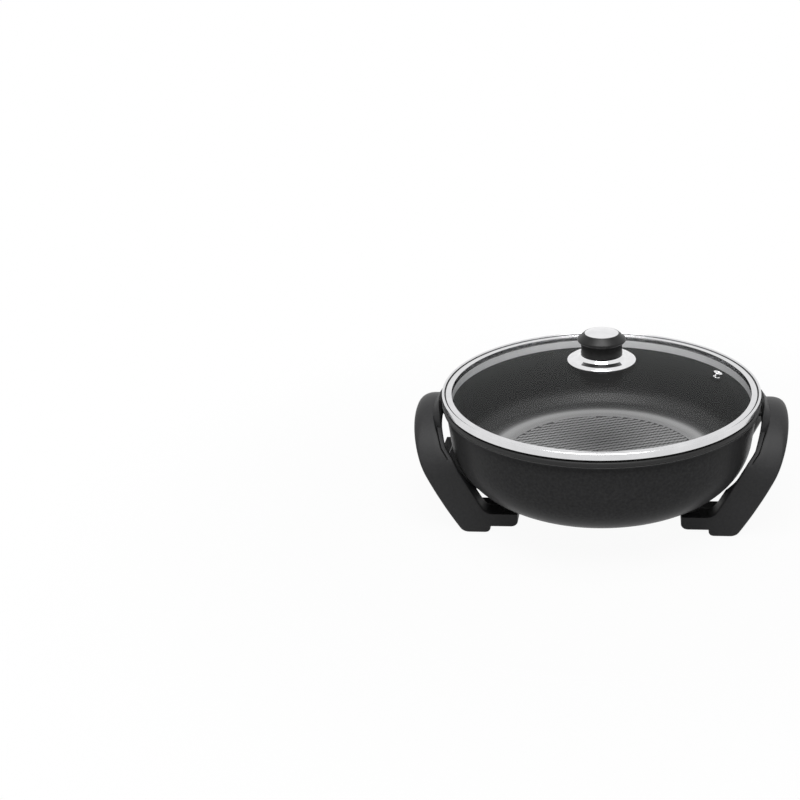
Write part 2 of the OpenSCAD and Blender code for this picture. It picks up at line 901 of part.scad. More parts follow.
module foot_screws() {
    color("#c8c9cb")
        at_feet()
            translate([0, 0, pad_bottom_z]) {
                cylinder(r = screw_r, h = screw_top_z - pad_bottom_z);
                cylinder(r = screw_head_r, h = screw_head_h);
            }
}

module foot_nuts() {
    color("#c8c9cb")
        at_feet()
            translate([0, 0, boss_seat_z + shell_t])
                difference() {
                    cylinder(r = screw_d, h = foot_nut_h, $fn = 6);
                    translate([0, 0, -over])
                        cylinder(r = screw_r, h = foot_nut_h + 2 * over);
                }
}

module rubber_feet() {
    color("#1d1d1f")
        for (side = [-1, 1], end = [-1, 1])
            translate([side * rubber_x, end * boss_y, 0])
                rubber_block(0);
}

// Lid: glass dome in a steel band, standing on the pan's bead
band_r = lip_r - band_inset;
band_z = rim_z + bead_h + lid_gap;
glass_z = band_z + band_t;
glass_top_z = glass_z + glass_t;
band_top_z = glass_top_z + band_t;
band_edge_r = 2;
glass_r = band_r - band_t;
dome_edge_r = band_r - band_w;
dome_r = (pow(dome_edge_r, 2) + pow(dome_h, 2)) / (2 * dome_h);
dome_z = glass_top_z + dome_h;
skirt_r = mouth_r - (rim_z - band_z + skirt_drop) * tan(wall_lean) - skirt_gap;
function dome_at(r) = dome_z - dome_r + sqrt(pow(dome_r, 2) - pow(r, 2));
vent_tilt = asin(vent_r / dome_r);

// Places its children on the dome at the vent, standing square to the glass
module at_vent() {
    rotate(vent_angle)
        translate([vent_r, 0, dome_at(vent_r)])
            rotate([0, vent_tilt, 0])
                children();
}

module lid_glass() {
    color("#dfe6e8", 0.4)
        difference() {
            rotate_extrude()
                difference() {
                    union() {
                        intersection() {
                            translate([0, glass_z])
                                square([dome_edge_r, dome_h + glass_t]);
                            translate([0, dome_z - dome_r])
                                circle(dome_r, $fn = 360);
                        }
                        translate([0, glass_z])
                            square([glass_r, glass_t]);
                    }
                    intersection() {
                        translate([0, dome_z - dome_r])
                            circle(dome_r - glass_t, $fn = 360);
                        square([dome_edge_r, 2 * dome_z]);
                    }
                }
            translate([0, 0, glass_z])
                cylinder(r = knob_screw_r + fit_gap, h = dome_h + 2 * glass_t);
            at_vent()
                cylinder(r = vent_neck_r + fit_gap, h = 4 * glass_t, center = true);
        }
}

// Band folded round the glass, with a skirt inside the mouth
module lid_band() {
    color("#d9dadc")
        rotate_extrude()
            difference() {
                union() {
                    translate([dome_edge_r, band_z])
                        square([band_w - band_edge_r, band_top_z - band_z]);
                    translate([dome_edge_r, band_z])
                        square([band_w, band_top_z - band_edge_r - band_z]);
                    translate([band_r - band_edge_r, band_top_z - band_edge_r])
                        circle(band_edge_r);
                    translate([skirt_r - band_t, band_z - skirt_drop])
                        square([band_t, skirt_drop + band_t]);
                }
                translate([0, glass_z])
                    square([glass_r, glass_t]);
                translate([0, band_z - over])
                    square([skirt_r - band_t, glass_z - band_z + over]);
            }
}

// Rolled eyelet through the glass
vent_neck_r = vent_bore / 2 + 0.6;
vent_roll = vent_d / 4 - vent_bore / 4;
vent_lip = 0.8;
vent_lip_gap = 0.05;

module vent_eyelet() {
    roll_r = vent_bore / 2 + vent_roll;
    color("#e0e1e3")
        at_vent()
            rotate_extrude()
                difference() {
                    union() {
                        intersection() {
                            translate([roll_r, 0])
                                circle(vent_roll);
                            square([vent_d, vent_d]);
                        }
                        translate([vent_bore / 2, -glass_t - vent_lip])
                            square([vent_neck_r - vent_bore / 2, glass_t + vent_lip + vent_roll / 2]);
                        translate([vent_bore / 2, -glass_t - vent_lip])
                            square([vent_d / 3 - vent_bore / 2, vent_lip - vent_lip_gap]);
                    }
                    translate([0, -vent_d])
                        square([vent_bore / 2, 2 * vent_d]);
                }
}

// Knob, screwed through the glass between two seals
knob_screw_r = knob_screw_d / 2;
skirt_t = 1.2;
skirt_rim_z = dome_at(knob_skirt_d / 2 - skirt_t);
stem_z = skirt_rim_z + knob_skirt_h;
flange_z = stem_z + stem_h;
knob_top_z = flange_z + slope_h;
seal_top_z = dome_z + seal_t;
hub_r = knob_screw_d * 1.9;
flange_edge = 2;
waist = 1.2;
insert_r = knob_screw_d * 0.85;
insert_l = 12;
cap_seat = 1.2;

// Bright dish: a rim on the glass that sweeps up to the stem
module knob_skirt() {
    rim_r = knob_skirt_d / 2;
    sweep_w = rim_r - stem_d / 2;
    rim_h = 1.6;
    sweep_h = knob_skirt_h - rim_h;
    sweep_r = (pow(sweep_w, 2) + pow(sweep_h, 2)) / (2 * sweep_h);
    color("#dcdddf")
        rotate_extrude()
            difference() {
                union() {
                    translate([0, skirt_rim_z])
                        square([rim_r, rim_h]);
                    difference() {
                        translate([0, skirt_rim_z])
                            square([rim_r, knob_skirt_h]);
                        translate([rim_r, skirt_rim_z + rim_h + sweep_r])
                            circle(sweep_r);
                    }
                }
                difference() {
                    translate([0, skirt_rim_z - over])
                        square([rim_r - skirt_t, knob_skirt_h - skirt_t + over]);
                    translate([rim_r, skirt_rim_z + rim_h + sweep_r])
                        circle(sweep_r + skirt_t);
                }
                square([hub_r + fit_gap, 2 * dome_z]);
            }
}

module knob_body() {
    color("#2e2e30")
        rotate_extrude()
            difference() {
                union() {
                    polygon([
                        [0, seal_top_z],
                        [hub_r, seal_top_z],
                        [hub_r, stem_z],
                        [stem_d / 2, stem_z],
                        [stem_d / 2 - waist, stem_z + stem_h * 0.45],
                        [stem_d / 2, flange_z - flange_edge],
                        [flange_d / 2 - flange_edge, flange_z - flange_edge],
                        [flange_d / 2 - flange_edge, flange_z + flange_edge / 2],
                        [cap_d / 2 + 0.5, knob_top_z],
                        [0, knob_top_z]
                    ]);
                    translate([flange_d / 2 - flange_edge, flange_z - flange_edge / 2])
                        circle(flange_edge);
                }
                translate([0, seal_top_z - over])
                    square([insert_r, insert_l + over]);
                translate([0, knob_top_z - cap_seat])
                    square([cap_d / 2 + fit_gap, cap_seat + over]);
            }
}

// Bright cap in the knob's top
module knob_cap() {
    cap_r = cap_d / 2;
    crown_r = (pow(cap_r, 2) + pow(cap_h, 2)) / (2 * cap_h);
    cap_z = knob_top_z - cap_seat;
    color("#e2e3e5")
        rotate_extrude() {
            translate([0, cap_z])
                square([cap_r, cap_seat]);
            intersection() {
                translate([0, knob_top_z])
                    square([cap_r, cap_h]);
                translate([0, knob_top_z + cap_h - crown_r])
                    circle(crown_r);
            }
        }
}

module knob_insert() {
    color("#b8954e")
        translate([0, 0, seal_top_z])
            difference() {
                cylinder(r = insert_r, h = insert_l);
                translate([0, 0, -over])
                    cylinder(r = knob_screw_r, h = insert_l);
            }
}

inner_dome_z = dome_z - glass_t;
knob_washer_t = 1.2;

module knob_screw() {
    head_h = knob_screw_d * 0.6;
    head_z = inner_dome_z - seal_t - knob_washer_t - head_h;
    color("#d4d5d7")
        translate([0, 0, head_z]) {
            cylinder(r = knob_screw_d, h = head_h);
            cylinder(r = knob_screw_r, h = seal_top_z + insert_l - 2 * over - head_z);
        }
}

module knob_washer() {
    color("#c8c9cb")
        translate([0, 0, inner_dome_z - seal_t - knob_washer_t])
            difference() {
                cylinder(r = hub_r, h = knob_washer_t);
                translate([0, 0, -over])
                    cylinder(r = knob_screw_r + fit_gap, h = knob_washer_t + 2 * over);
            }
}

module knob_seals() {
    color("#8c8c8c")
        difference() {
            union() {
                translate([0, 0, dome_z - over])
                    cylinder(r = hub_r, h = seal_t + over);
                translate([0, 0, inner_dome_z - seal_t])
                    cylinder(r = hub_r, h = seal_t);
            }
            rotate_extrude()
                difference() {
                    intersection() {
                        translate([0, dome_z - dome_r])
                            circle(dome_r, $fn = 360);
                        translate([0, inner_dome_z - over])
                            square([2 * hub_r, glass_t + over]);
                    }
                    translate([0, dome_z - dome_r])
                        circle(dome_r - glass_t, $fn = 360);
                }
            translate([0, 0, inner_dome_z - 2 * seal_t])
                cylinder(r = knob_screw_r + fit_gap, h = glass_t + 4 * seal_t);
        }
}

inner_pan();
outer_shell();
rim_gasket();
heating_plate();
heating_element();
plate_nuts();
heat_reflector();
centre_spacer();
centre_washer();
centre_bolt();
probe_sleeve();
power_pins();
pin_insulators();
inlet_bracket();
inlet_shroud();
shroud_screws();
left_handle();
right_handle();
handle_lugs();
handle_screws();
foot_bosses();
foot_screws();
foot_nuts();
rubber_feet();
lid_glass();
lid_band();
vent_eyelet();
knob_skirt();
knob_body();
knob_cap();
knob_insert();
knob_screw();
knob_washer();
knob_seals();
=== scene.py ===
import math

import bmesh
import bpy
from mathutils import Matrix, Vector


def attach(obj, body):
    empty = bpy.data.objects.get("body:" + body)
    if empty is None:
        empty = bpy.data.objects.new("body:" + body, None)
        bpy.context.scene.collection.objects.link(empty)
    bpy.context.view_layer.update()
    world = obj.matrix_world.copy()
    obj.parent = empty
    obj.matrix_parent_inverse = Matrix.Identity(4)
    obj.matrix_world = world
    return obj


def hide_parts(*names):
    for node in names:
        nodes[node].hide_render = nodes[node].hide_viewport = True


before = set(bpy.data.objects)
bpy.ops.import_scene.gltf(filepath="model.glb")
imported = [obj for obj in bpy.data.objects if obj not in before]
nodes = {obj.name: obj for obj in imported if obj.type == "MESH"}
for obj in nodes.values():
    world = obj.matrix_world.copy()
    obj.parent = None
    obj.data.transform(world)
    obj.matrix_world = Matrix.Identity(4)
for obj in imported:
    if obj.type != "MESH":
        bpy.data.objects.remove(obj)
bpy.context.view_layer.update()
MM = 0.001

# Outer shell
# Drawn steel bowl under the lip, sprayed with a fine mottled semi-matt black that catches light at its sides.
# It hangs from the pan's lip and is drawn up by one bolt in the middle of its bottom.


def coat(name, dark, light, grain, fine, rough, bump, metallic=0.0, specular=0.5):
    """A surface whose tone, gloss and relief come from two sizes of noise on the object's own coordinates."""
    mat = bpy.data.materials.new(name)
    mat.use_nodes = True
    tree = mat.node_tree
    shader = tree.nodes["Principled BSDF"]
    shader.inputs["Metallic"].default_value = metallic
    shader.inputs["Specular IOR Level"].default_value = specular
    place = tree.nodes.new("ShaderNodeTexCoord")
    broad = tree.nodes.new("ShaderNodeTexNoise")
    broad.inputs["Scale"].default_value = grain
    broad.inputs["Detail"].default_value = 4.0
    small = tree.nodes.new("ShaderNodeTexNoise")
    small.inputs["Scale"].default_value = fine
    small.inputs["Detail"].default_value = 2.0
    blend = tree.nodes.new("ShaderNodeMath")
    blend.operation = "MULTIPLY_ADD"
    blend.inputs[1].default_value = 0.45
    ramp = tree.nodes.new("ShaderNodeValToRGB")
    ramp.color_ramp.elements[0].position = 0.4
    ramp.color_ramp.elements[0].color = (*dark, 1.0)
    ramp.color_ramp.elements[1].position = 1.0
    ramp.color_ramp.elements[1].color = (*light, 1.0)
    gloss = tree.nodes.new("ShaderNodeMapRange")
    gloss.inputs["From Min"].default_value = 0.3
    gloss.inputs["From Max"].default_value = 0.7
    gloss.inputs["To Min"].default_value = rough[0]
    gloss.inputs["To Max"].default_value = rough[1]
    relief = tree.nodes.new("ShaderNodeBump")
    relief.inputs["Strength"].default_value = bump
    relief.inputs["Distance"].default_value = 0.0002
    tree.links.new(place.outputs["Object"], broad.inputs["Vector"])
    tree.links.new(place.outputs["Object"], small.inputs["Vector"])
    tree.links.new(small.outputs["Fac"], blend.inputs[0])
    tree.links.new(broad.outputs["Fac"], blend.inputs[2])
    tree.links.new(blend.outputs["Value"], ramp.inputs["Fac"])
    tree.links.new(ramp.outputs["Color"], shader.inputs["Base Color"])
    tree.links.new(broad.outputs["Fac"], gloss.inputs["Value"])
    tree.links.new(gloss.outputs["Result"], shader.inputs["Roughness"])
    tree.links.new(small.outputs["Fac"], relief.inputs["Height"])
    tree.links.new(relief.outputs["Normal"], shader.inputs["Normal"])
    return mat


def dress(name, mat):
    """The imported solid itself, with this surface."""
    mesh = nodes[name].data
    mesh.materials.clear()
    mesh.materials.append(mat)


shell_paint = coat(
    "shell_paint", (0.03, 0.03, 0.031), (0.056, 0.056, 0.057), 380.0, 1400.0, (0.3, 0.4), 0.08, specular=0.04
)
dress("outer_shell", shell_paint)

# Inner pan
# Cast aluminium pan with a rolled lip and a bead that carries the lid; painted shade darkens its non-stick coat up the
# wall and a painted highlight lightens a ring round the floor's edge.
# Two thin rings are turned into the floor round its relief, and three studs under it hold the heating plate.


def rounded(corners, per_quarter=6):
    """Closed outline of (across, up) points; each corner (across, up, radius) is drawn as an arc."""
    points = []
    for i, (x, y, radius) in enumerate(corners):
        here = Vector((x, y))
        back = Vector(corners[i - 1][:2]) - here
        ahead = Vector(corners[(i + 1) % len(corners)][:2]) - here
        opening = back.angle(ahead)
        if radius <= 0.0 or opening > math.radians(179.0):
            points.append((x, y))
            continue
        reach = min(radius / math.tan(opening / 2), 0.49 * back.length, 0.49 * ahead.length)
        bend = reach * math.tan(opening / 2)
        middle = here + (back.normalized() + ahead.normalized()).normalized() * (bend / math.sin(opening / 2))
        start = here + back.normalized() * reach - middle
        stop = here + ahead.normalized() * reach - middle
        first = math.atan2(start.y, start.x)
        sweep = math.remainder(math.atan2(stop.y, stop.x) - first, 2 * math.pi)
        steps = max(2, round(per_quarter * abs(sweep) / (math.pi / 2)))
        for k in range(steps + 1):
            turn = first + sweep * k / steps
            points.append((middle.x + bend * math.cos(turn), middle.y + bend * math.sin(turn)))
    return points


def lathe(bm, outline, turns=144):
    """Revolves a closed outline of (radius, height) in millimetres round the Z axis."""
    rings = []
    for radius, height in outline:
        if radius < 1e-6:
            rings.append([bm.verts.new((0.0, 0.0, height * MM))] * turns)
            continue
        ring = []
        for k in range(turns):
            turn = 2 * math.pi * k / turns
            ring.append(bm.verts.new((radius * MM * math.cos(turn), radius * MM * math.sin(turn), height * MM)))
        rings.append(ring)
    for i, near in enumerate(rings):
        far = rings[(i + 1) % len(rings)]
        if near[0] is near[1] and far[0] is far[1]:
            continue
        for k in range(turns):
            ahead = (k + 1) % turns
            bm.faces.new(list(dict.fromkeys((near[k], far[k], far[ahead], near[ahead]))))


def piece(name, bm, mat, body, slot, *stands_for):
    """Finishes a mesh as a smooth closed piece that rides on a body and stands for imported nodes."""
    bmesh.ops.recalc_face_normals(bm, faces=bm.faces)
    mesh = bpy.data.meshes.new(name)
    bm.to_mesh(mesh)
    bm.free()
    mesh.shade_smooth()
    mesh.set_sharp_from_angle(angle=math.radians(32.0))
    mesh.materials.append(mat)
    made = bpy.data.objects.new(name, mesh)
    bpy.context.scene.collection.objects.link(made)
    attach(made, body)
    if stands_for:
        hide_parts(*stands_for)
    return made


FLOOR_Z = 51.0
FLOOR_T = 4.0
RIM_Z = 120.0
MOUTH_R = 148.0
LIP_R = 155.3
LIP_T = 5.0
BEAD_TOP = 121.5
PAN_WALL = 3.0
WALL_TILT = math.radians(6.0)
LEAN = math.tan(WALL_TILT)
INSIDE_BEND = 32.0
OUTSIDE_BEND = 35.0
FLOOR_RINGS = ((99.4, 0.7, 0.5), (102.0, 0.9, 0.7))


def ring_groove(radius, half, depth):
    """Points across a small round groove in the cooking floor."""
    return [
        (radius - half, FLOOR_Z, 0.3),
        (radius - half / 2, FLOOR_Z - depth, 0.3),
        (radius + half / 2, FLOOR_Z - depth, 0.3),
        (radius + half, FLOOR_Z, 0.3),
    ]


floor_corner_r = MOUTH_R - (RIM_Z - FLOOR_Z) * LEAN
under_corner_r = floor_corner_r + PAN_WALL - FLOOR_T * LEAN
pan_outline = rounded(
    [(0.0, FLOOR_Z, 0.0)]
    + [point for ring in FLOOR_RINGS for point in ring_groove(*ring)]
    + [
        (floor_corner_r, FLOOR_Z, INSIDE_BEND),
        (MOUTH_R, RIM_Z, 0.0),
        (MOUTH_R, BEAD_TOP, 0.7),
        (MOUTH_R + 3.3, BEAD_TOP, 0.7),
        (MOUTH_R + 3.5, RIM_Z, 0.5),
        (LIP_R, RIM_Z, 2.0),
        (LIP_R, RIM_Z - LIP_T, 2.0),
        (MOUTH_R + PAN_WALL - LIP_T * LEAN, RIM_Z - LIP_T, 0.5),
        (under_corner_r, FLOOR_Z - FLOOR_T, OUTSIDE_BEND),
        (0.0, FLOOR_Z - FLOOR_T, 0.0),
    ],
    per_quarter=12,
)
pan_bm = bmesh.new()
lathe(pan_bm, pan_outline, turns=192)
STUD_RING = 45.0
STUD_R = 2.0
STUD_L = 12.8
stud_top = FLOOR_Z - FLOOR_T + 1.0
stud_end = FLOOR_Z - FLOOR_T - STUD_L
stud_outline = rounded([(0.0, stud_top, 0.0), (STUD_R, stud_top, 0.0), (STUD_R, stud_end, 0.4), (0.0, stud_end, 0.0)])
for stud in range(3):
    turn = math.radians(120.0 * stud)
    stud_bm = bmesh.new()
    lathe(stud_bm, stud_outline, turns=24)
    bmesh.ops.translate(
        stud_bm, verts=stud_bm.verts, vec=(STUD_RING * MM * math.cos(turn), STUD_RING * MM * math.sin(turn), 0.0)
    )
    stud_mesh = bpy.data.meshes.new("pan_stud")
    stud_bm.to_mesh(stud_mesh)
    stud_bm.free()
    pan_bm.from_mesh(stud_mesh)
    bpy.data.meshes.remove(stud_mesh)
nonstick = coat(
    "nonstick_coating", (0.36, 0.36, 0.362), (0.44, 0.44, 0.443), 900.0, 2600.0, (0.42, 0.47), 0.02, specular=0.2
)
# Painted light on the coat at a radius: painted shade on the field between the ridges, a painted highlight on the ring
# round the floor's edge, then painted shade darkening the wall.
COAT_LIGHT_AND_SHADE = (
    (98.0, 0.2),
    (98.8, 0.75),
    (104.0, 0.8),
    (110.0, 1.0),
    (114.0, 1.0),
    (118.0, 0.5),
    (122.0, 0.22),
    (129.0, 0.11),
    (143.0, 0.085),
)
tree = nonstick.node_tree
coat_place = tree.nodes.new("ShaderNodeTexCoord")
flat_place = tree.nodes.new("ShaderNodeVectorMath")
flat_place.operation = "MULTIPLY"
flat_place.inputs[1].default_value = (1.0, 1.0, 0.0)
tree.links.new(coat_place.outputs["Object"], flat_place.inputs[0])
from_middle = tree.nodes.new("ShaderNodeVectorMath")
from_middle.operation = "LENGTH"
tree.links.new(flat_place.outputs["Vector"], from_middle.inputs[0])
outward = tree.nodes.new("ShaderNodeMapRange")
outward.inputs["From Min"].default_value = COAT_LIGHT_AND_SHADE[0][0] * MM
outward.inputs["From Max"].default_value = COAT_LIGHT_AND_SHADE[-1][0] * MM
tree.links.new(from_middle.outputs["Value"], outward.inputs["Value"])
# Painted highlight and painted shade on the coat, by radius.
painted_light_ramp = tree.nodes.new("ShaderNodeValToRGB")
while len(painted_light_ramp.color_ramp.elements) < len(COAT_LIGHT_AND_SHADE):
    painted_light_ramp.color_ramp.elements.new(0.5)
for stop, (radius, tone) in zip(painted_light_ramp.color_ramp.elements, COAT_LIGHT_AND_SHADE):
    stop.position = (radius - COAT_LIGHT_AND_SHADE[0][0]) / (COAT_LIGHT_AND_SHADE[-1][0] - COAT_LIGHT_AND_SHADE[0][0])
    stop.color = (tone, tone, tone, 1.0)
tree.links.new(outward.outputs["Result"], painted_light_ramp.inputs["Fac"])
toned = tree.nodes.new("ShaderNodeVectorMath")
toned.operation = "SCALE"
tree.links.new(tree.nodes["Color Ramp"].outputs["Color"], toned.inputs[0])
tree.links.new(painted_light_ramp.outputs["Color"], toned.inputs["Scale"])
tree.links.new(toned.outputs["Vector"], tree.nodes["Principled BSDF"].inputs["Base Color"])
piece("cooking_pan", pan_bm, nonstick, "base", "nonstick_coating", "inner_pan")

# Floor relief
# Rows of low wavy ridges pressed into the cooking floor, turned a little from the handles' line.
# They fill the floor inside the rings; a painted highlight makes their tops lighter than the coat between them.
RIDGE_FIELD_R = 97.5
RIDGE_PITCH = 6.0
WAVE_LENGTH = 5.0
WAVE_SWING = 0.95
RIDGE_HALF = 1.5
RIDGE_RISE = 0.42
RIDGE_TURN = 20.0
# Lighter than the floor's coat: a painted highlight on the ridge tops.
ridge_highlight_coat = coat(
    "ridge_highlight_coat", (0.27, 0.27, 0.272), (0.34, 0.34, 0.343), 900.0, 2600.0, (0.34, 0.44), 0.04, specular=0.5
)
relief = bpy.data.node_groups.new("floor_ridges", "GeometryNodeTree")
relief.interface.new_socket("Geometry", in_out="INPUT", socket_type="NodeSocketGeometry")
ridge_sizes = (
    ("Field Radius", RIDGE_FIELD_R * MM),
    ("Pitch", RIDGE_PITCH * MM),
    ("Wave Length", WAVE_LENGTH * MM),
    ("Wave Swing", WAVE_SWING * MM),
    ("Half Width", RIDGE_HALF * MM),
)
ridge_sockets = {}
for label, size in ridge_sizes:
    socket = relief.interface.new_socket(label, in_out="INPUT", socket_type="NodeSocketFloat")
    ridge_sockets[label] = (socket.identifier, size)
relief.interface.new_socket("Geometry", in_out="OUTPUT", socket_type="NodeSocketGeometry")


def step(tree, kind, operation=None, **values):
    """A node with an operation and values on its named or numbered inputs; a socket given as a value is linked."""
    node = tree.nodes.new(kind)
    if operation:
        node.operation = operation
    for key, value in values.items():
        numbered = key[0] == "i" and key[1:].isdigit()
        socket = node.inputs[int(key[1:])] if numbered else node.inputs[key.replace("_", " ")]
        if isinstance(value, bpy.types.NodeSocket):
            tree.links.new(value, socket)
        else:
            socket.default_value = value
    return node


entry = relief.nodes.new("NodeGroupInput")
given = {label: entry.outputs[label] for label, size in ridge_sizes}
across_field = step(relief, "ShaderNodeMath", "MULTIPLY", i0=given["Field Radius"], i1=2.0)
row_count = step(relief, "ShaderNodeMath", "DIVIDE", i0=across_field.outputs[0], i1=given["Pitch"])
first_row = step(relief, "ShaderNodeMath", "MULTIPLY_ADD", i0=given["Field Radius"], i1=-1.0, i2=given["Pitch"])
row_start = step(relief, "ShaderNodeCombineXYZ", Y=first_row.outputs[0])
row_step = step(relief, "ShaderNodeCombineXYZ", Y=given["Pitch"])
rows = step(
    relief,
    "GeometryNodeMeshLine",
    Count=row_count.outputs[0],
    Start_Location=row_start.outputs[0],
    Offset=row_step.outputs[0],
)
row_place = relief.nodes.new("GeometryNodeInputPosition")
row_axes = step(relief, "ShaderNodeSeparateXYZ", Vector=row_place.outputs[0])
row_y_squared = step(relief, "ShaderNodeMath", "POWER", i0=row_axes.outputs["Y"], i1=2.0)
field_squared = step(relief, "ShaderNodeMath", "POWER", i0=given["Field Radius"], i1=2.0)
half_squared = step(relief, "ShaderNodeMath", "SUBTRACT", i0=field_squared.outputs[0], i1=row_y_squared.outputs[0])
half_row = step(relief, "ShaderNodeMath", "SQRT", i0=half_squared.outputs[0])
row_scale = step(relief, "ShaderNodeCombineXYZ", X=half_row.outputs[0], Y=1.0, Z=1.0)
unit_row = step(relief, "GeometryNodeCurvePrimitiveLine", Start=(-1.0, 0.0, 0.0), End=(1.0, 0.0, 0.0))
laid_rows = step(
    relief,
    "GeometryNodeInstanceOnPoints",
    Points=rows.outputs["Mesh"],
    Instance=unit_row.outputs["Curve"],
    Scale=row_scale.outputs[0],
)
joined_rows = step(relief, "GeometryNodeRealizeInstances", Geometry=laid_rows.outputs["Instances"])
wave_step = step(relief, "ShaderNodeMath", "DIVIDE", i0=given["Wave Length"], i1=8.0)
fine_rows = relief.nodes.new("GeometryNodeResampleCurve")
fine_rows.mode = "LENGTH"
relief.links.new(joined_rows.outputs["Geometry"], fine_rows.inputs["Curve"])
relief.links.new(wave_step.outputs[0], fine_rows.inputs["Length"])
wave_place = relief.nodes.new("GeometryNodeInputPosition")
wave_axes = step(relief, "ShaderNodeSeparateXYZ", Vector=wave_place.outputs[0])
waves_along = step(relief, "ShaderNodeMath", "DIVIDE", i0=wave_axes.outputs["X"], i1=given["Wave Length"])
wave_turn = step(relief, "ShaderNodeMath", "MULTIPLY", i0=waves_along.outputs[0], i1=2 * math.pi)
wave_sine = step(relief, "ShaderNodeMath", "SINE", i0=wave_turn.outputs[0])
wave_shift = step(relief, "ShaderNodeMath", "MULTIPLY", i0=wave_sine.outputs[0], i1=given["Wave Swing"])
wave_offset = step(relief, "ShaderNodeCombineXYZ", Y=wave_shift.outputs[0])
waved = step(
    relief, "GeometryNodeSetPosition", Geometry=fine_rows.outputs["Curve"], Offset=wave_offset.outputs[0]
)
row_edges = step(relief, "GeometryNodeCurveToMesh", Curve=waved.outputs["Geometry"])
turned_edges = step(
    relief,
    "GeometryNodeTransform",
    Geometry=row_edges.outputs["Mesh"],
    Rotation=(0.0, 0.0, math.radians(RIDGE_TURN)),
)
ridge_lines = step(relief, "GeometryNodeMeshToCurve", Mesh=turned_edges.outputs["Geometry"])
level_lines = relief.nodes.new("GeometryNodeSetCurveNormal")
level_lines.mode = "Z_UP"
relief.links.new(ridge_lines.outputs["Curve"], level_lines.inputs["Curve"])
ridge_ring = step(relief, "GeometryNodeCurvePrimitiveCircle", Resolution=6, Radius=given["Half Width"])
ridge_section = step(
    relief,
    "GeometryNodeTransform",
    Geometry=ridge_ring.outputs["Curve"],
    Scale=(1.0, RIDGE_RISE / RIDGE_HALF, 1.0),
)
ridges = step(
    relief,
    "GeometryNodeCurveToMesh",
    Curve=level_lines.outputs["Curve"],
    Profile_Curve=ridge_section.outputs["Geometry"],
    Fill_Caps=True,
)
seated = step(
    relief, "GeometryNodeTransform", Geometry=ridges.outputs["Mesh"], Translation=(0.0, 0.0, FLOOR_Z * MM)
)
whole_relief = step(relief, "GeometryNodeRealizeInstances", Geometry=seated.outputs["Geometry"])
relief_finish = step(
    relief, "GeometryNodeSetMaterial", Geometry=whole_relief.outputs["Geometry"], Material=ridge_highlight_coat
)
leave = relief.nodes.new("NodeGroupOutput")
relief.links.new(relief_finish.outputs["Geometry"], leave.inputs["Geometry"])


def grown(name, tree, sockets):
    """The plain mesh that a tree grows from its sizes."""
    seed = bpy.data.objects.new(name + "_seed", bpy.data.meshes.new(name + "_seed"))
    bpy.context.scene.collection.objects.link(seed)
    modifier = seed.modifiers.new(name, "NODES")
    modifier.node_group = tree
    for identifier, size in sockets.values():
        modifier[identifier] = size
    bpy.context.view_layer.update()
    evaluated = seed.evaluated_get(bpy.context.evaluated_depsgraph_get())
    mesh = bpy.data.meshes.new_from_object(evaluated)
    seed.modifiers.remove(modifier)
    bpy.data.objects.remove(seed)
    bm = bmesh.new()
    bm.from_mesh(mesh)
    bpy.data.meshes.remove(mesh)
    return bm


piece("floor_relief", grown("floor_relief", relief, ridge_sockets), ridge_highlight_coat, "base", "nonstick_coating")

# Heating plate and what holds it
# Cast aluminium plate with a sheathed element pressed into its grooves, nutted to the pan's studs.
# A thin reflector, a spacer, a washer and one bolt draw it and the shell together.
cast_aluminium = coat("cast_aluminium", (0.42, 0.42, 0.43), (0.6, 0.6, 0.61), 300.0, 1800.0, (0.35, 0.55), 0.3, 1.0)
oxidised_sheath = coat("oxidised_sheath", (0.1, 0.095, 0.09), (0.22, 0.2, 0.18), 220.0, 1600.0, (0.4, 0.6), 0.2, 1.0)
rolled_sheet = coat("rolled_sheet", (0.6, 0.61, 0.62), (0.75, 0.75, 0.76), 150.0, 2200.0, (0.18, 0.3), 0.1, 1.0)
zinc_plating = coat("zinc_plating", (0.45, 0.46, 0.47), (0.62, 0.62, 0.61), 260.0, 1900.0, (0.25, 0.42), 0.15, 1.0)
grey_silicone = coat("grey_silicone", (0.09, 0.09, 0.09), (0.13, 0.13, 0.13), 300.0, 2400.0, (0.55, 0.7), 0.15)
dress("rim_gasket", grey_silicone)
dress("heating_plate", cast_aluminium)
dress("heating_element", oxidised_sheath)
dress("heat_reflector", rolled_sheet)
for fastener in ("plate_nuts", "centre_spacer", "centre_washer", "centre_bolt"):
    dress(fastener, zinc_plating)

# Socket
# Sleeve for the thermostat's probe between two power pins in ceramic beads, on a small plated bracket.
# A moulded shroud closes round them against the shell, held by two screws.
nickel_pin = coat("nickel_pin", (0.55, 0.54, 0.52), (0.72, 0.71, 0.69), 400.0, 2600.0, (0.12, 0.22), 0.08, 1.0)
glazed_bead = coat("glazed_bead", (0.62, 0.6, 0.54), (0.74, 0.72, 0.66), 180.0, 1500.0, (0.15, 0.25), 0.05)
moulded_black = coat(
    "moulded_black", (0.022, 0.022, 0.023), (0.036, 0.036, 0.037), 500.0, 2600.0, (0.46, 0.58), 0.25, specular=0.35
)
for fitting in ("probe_sleeve", "inlet_bracket", "shroud_screws"):
    dress(fitting, zinc_plating)
dress("power_pins", nickel_pin)
dress("pin_insulators", glazed_bead)
dress("inlet_shroud", moulded_black)

# Handles
# Each is one heat-proof moulding that serves as grip, two legs and two feet, with a finger strip along its inner edge.
# A lug on the shell enters under an ear at the crest, and a screw goes up through each foot pad into the bowl.
CREST_Z = 112.0
LEG_LEAN = math.tan(math.radians(28.4))
GRIP_LINE = (154.84, 105.0)
LEG_W = 33.7
GRIP_W = 27.0
EDGE_Z = 106.0
OUTER_CURVE = 400.0
SHELL_CLEAR = 3.0
PAD_BOTTOM = 8.06
PAD_TOP = 21.0
FOOT_BOTTOM = 1.0
PAD_END_X = 78.5
LEG_OUT_Y = 70.0
LEG_IN_Y = 51.0
PAD_IN_Y = 36.0


def leg_inner_x(z):
    """The straight leaning line of a handle's inner side."""
    return GRIP_LINE[0] - (GRIP_LINE[1] - z) * LEG_LEAN


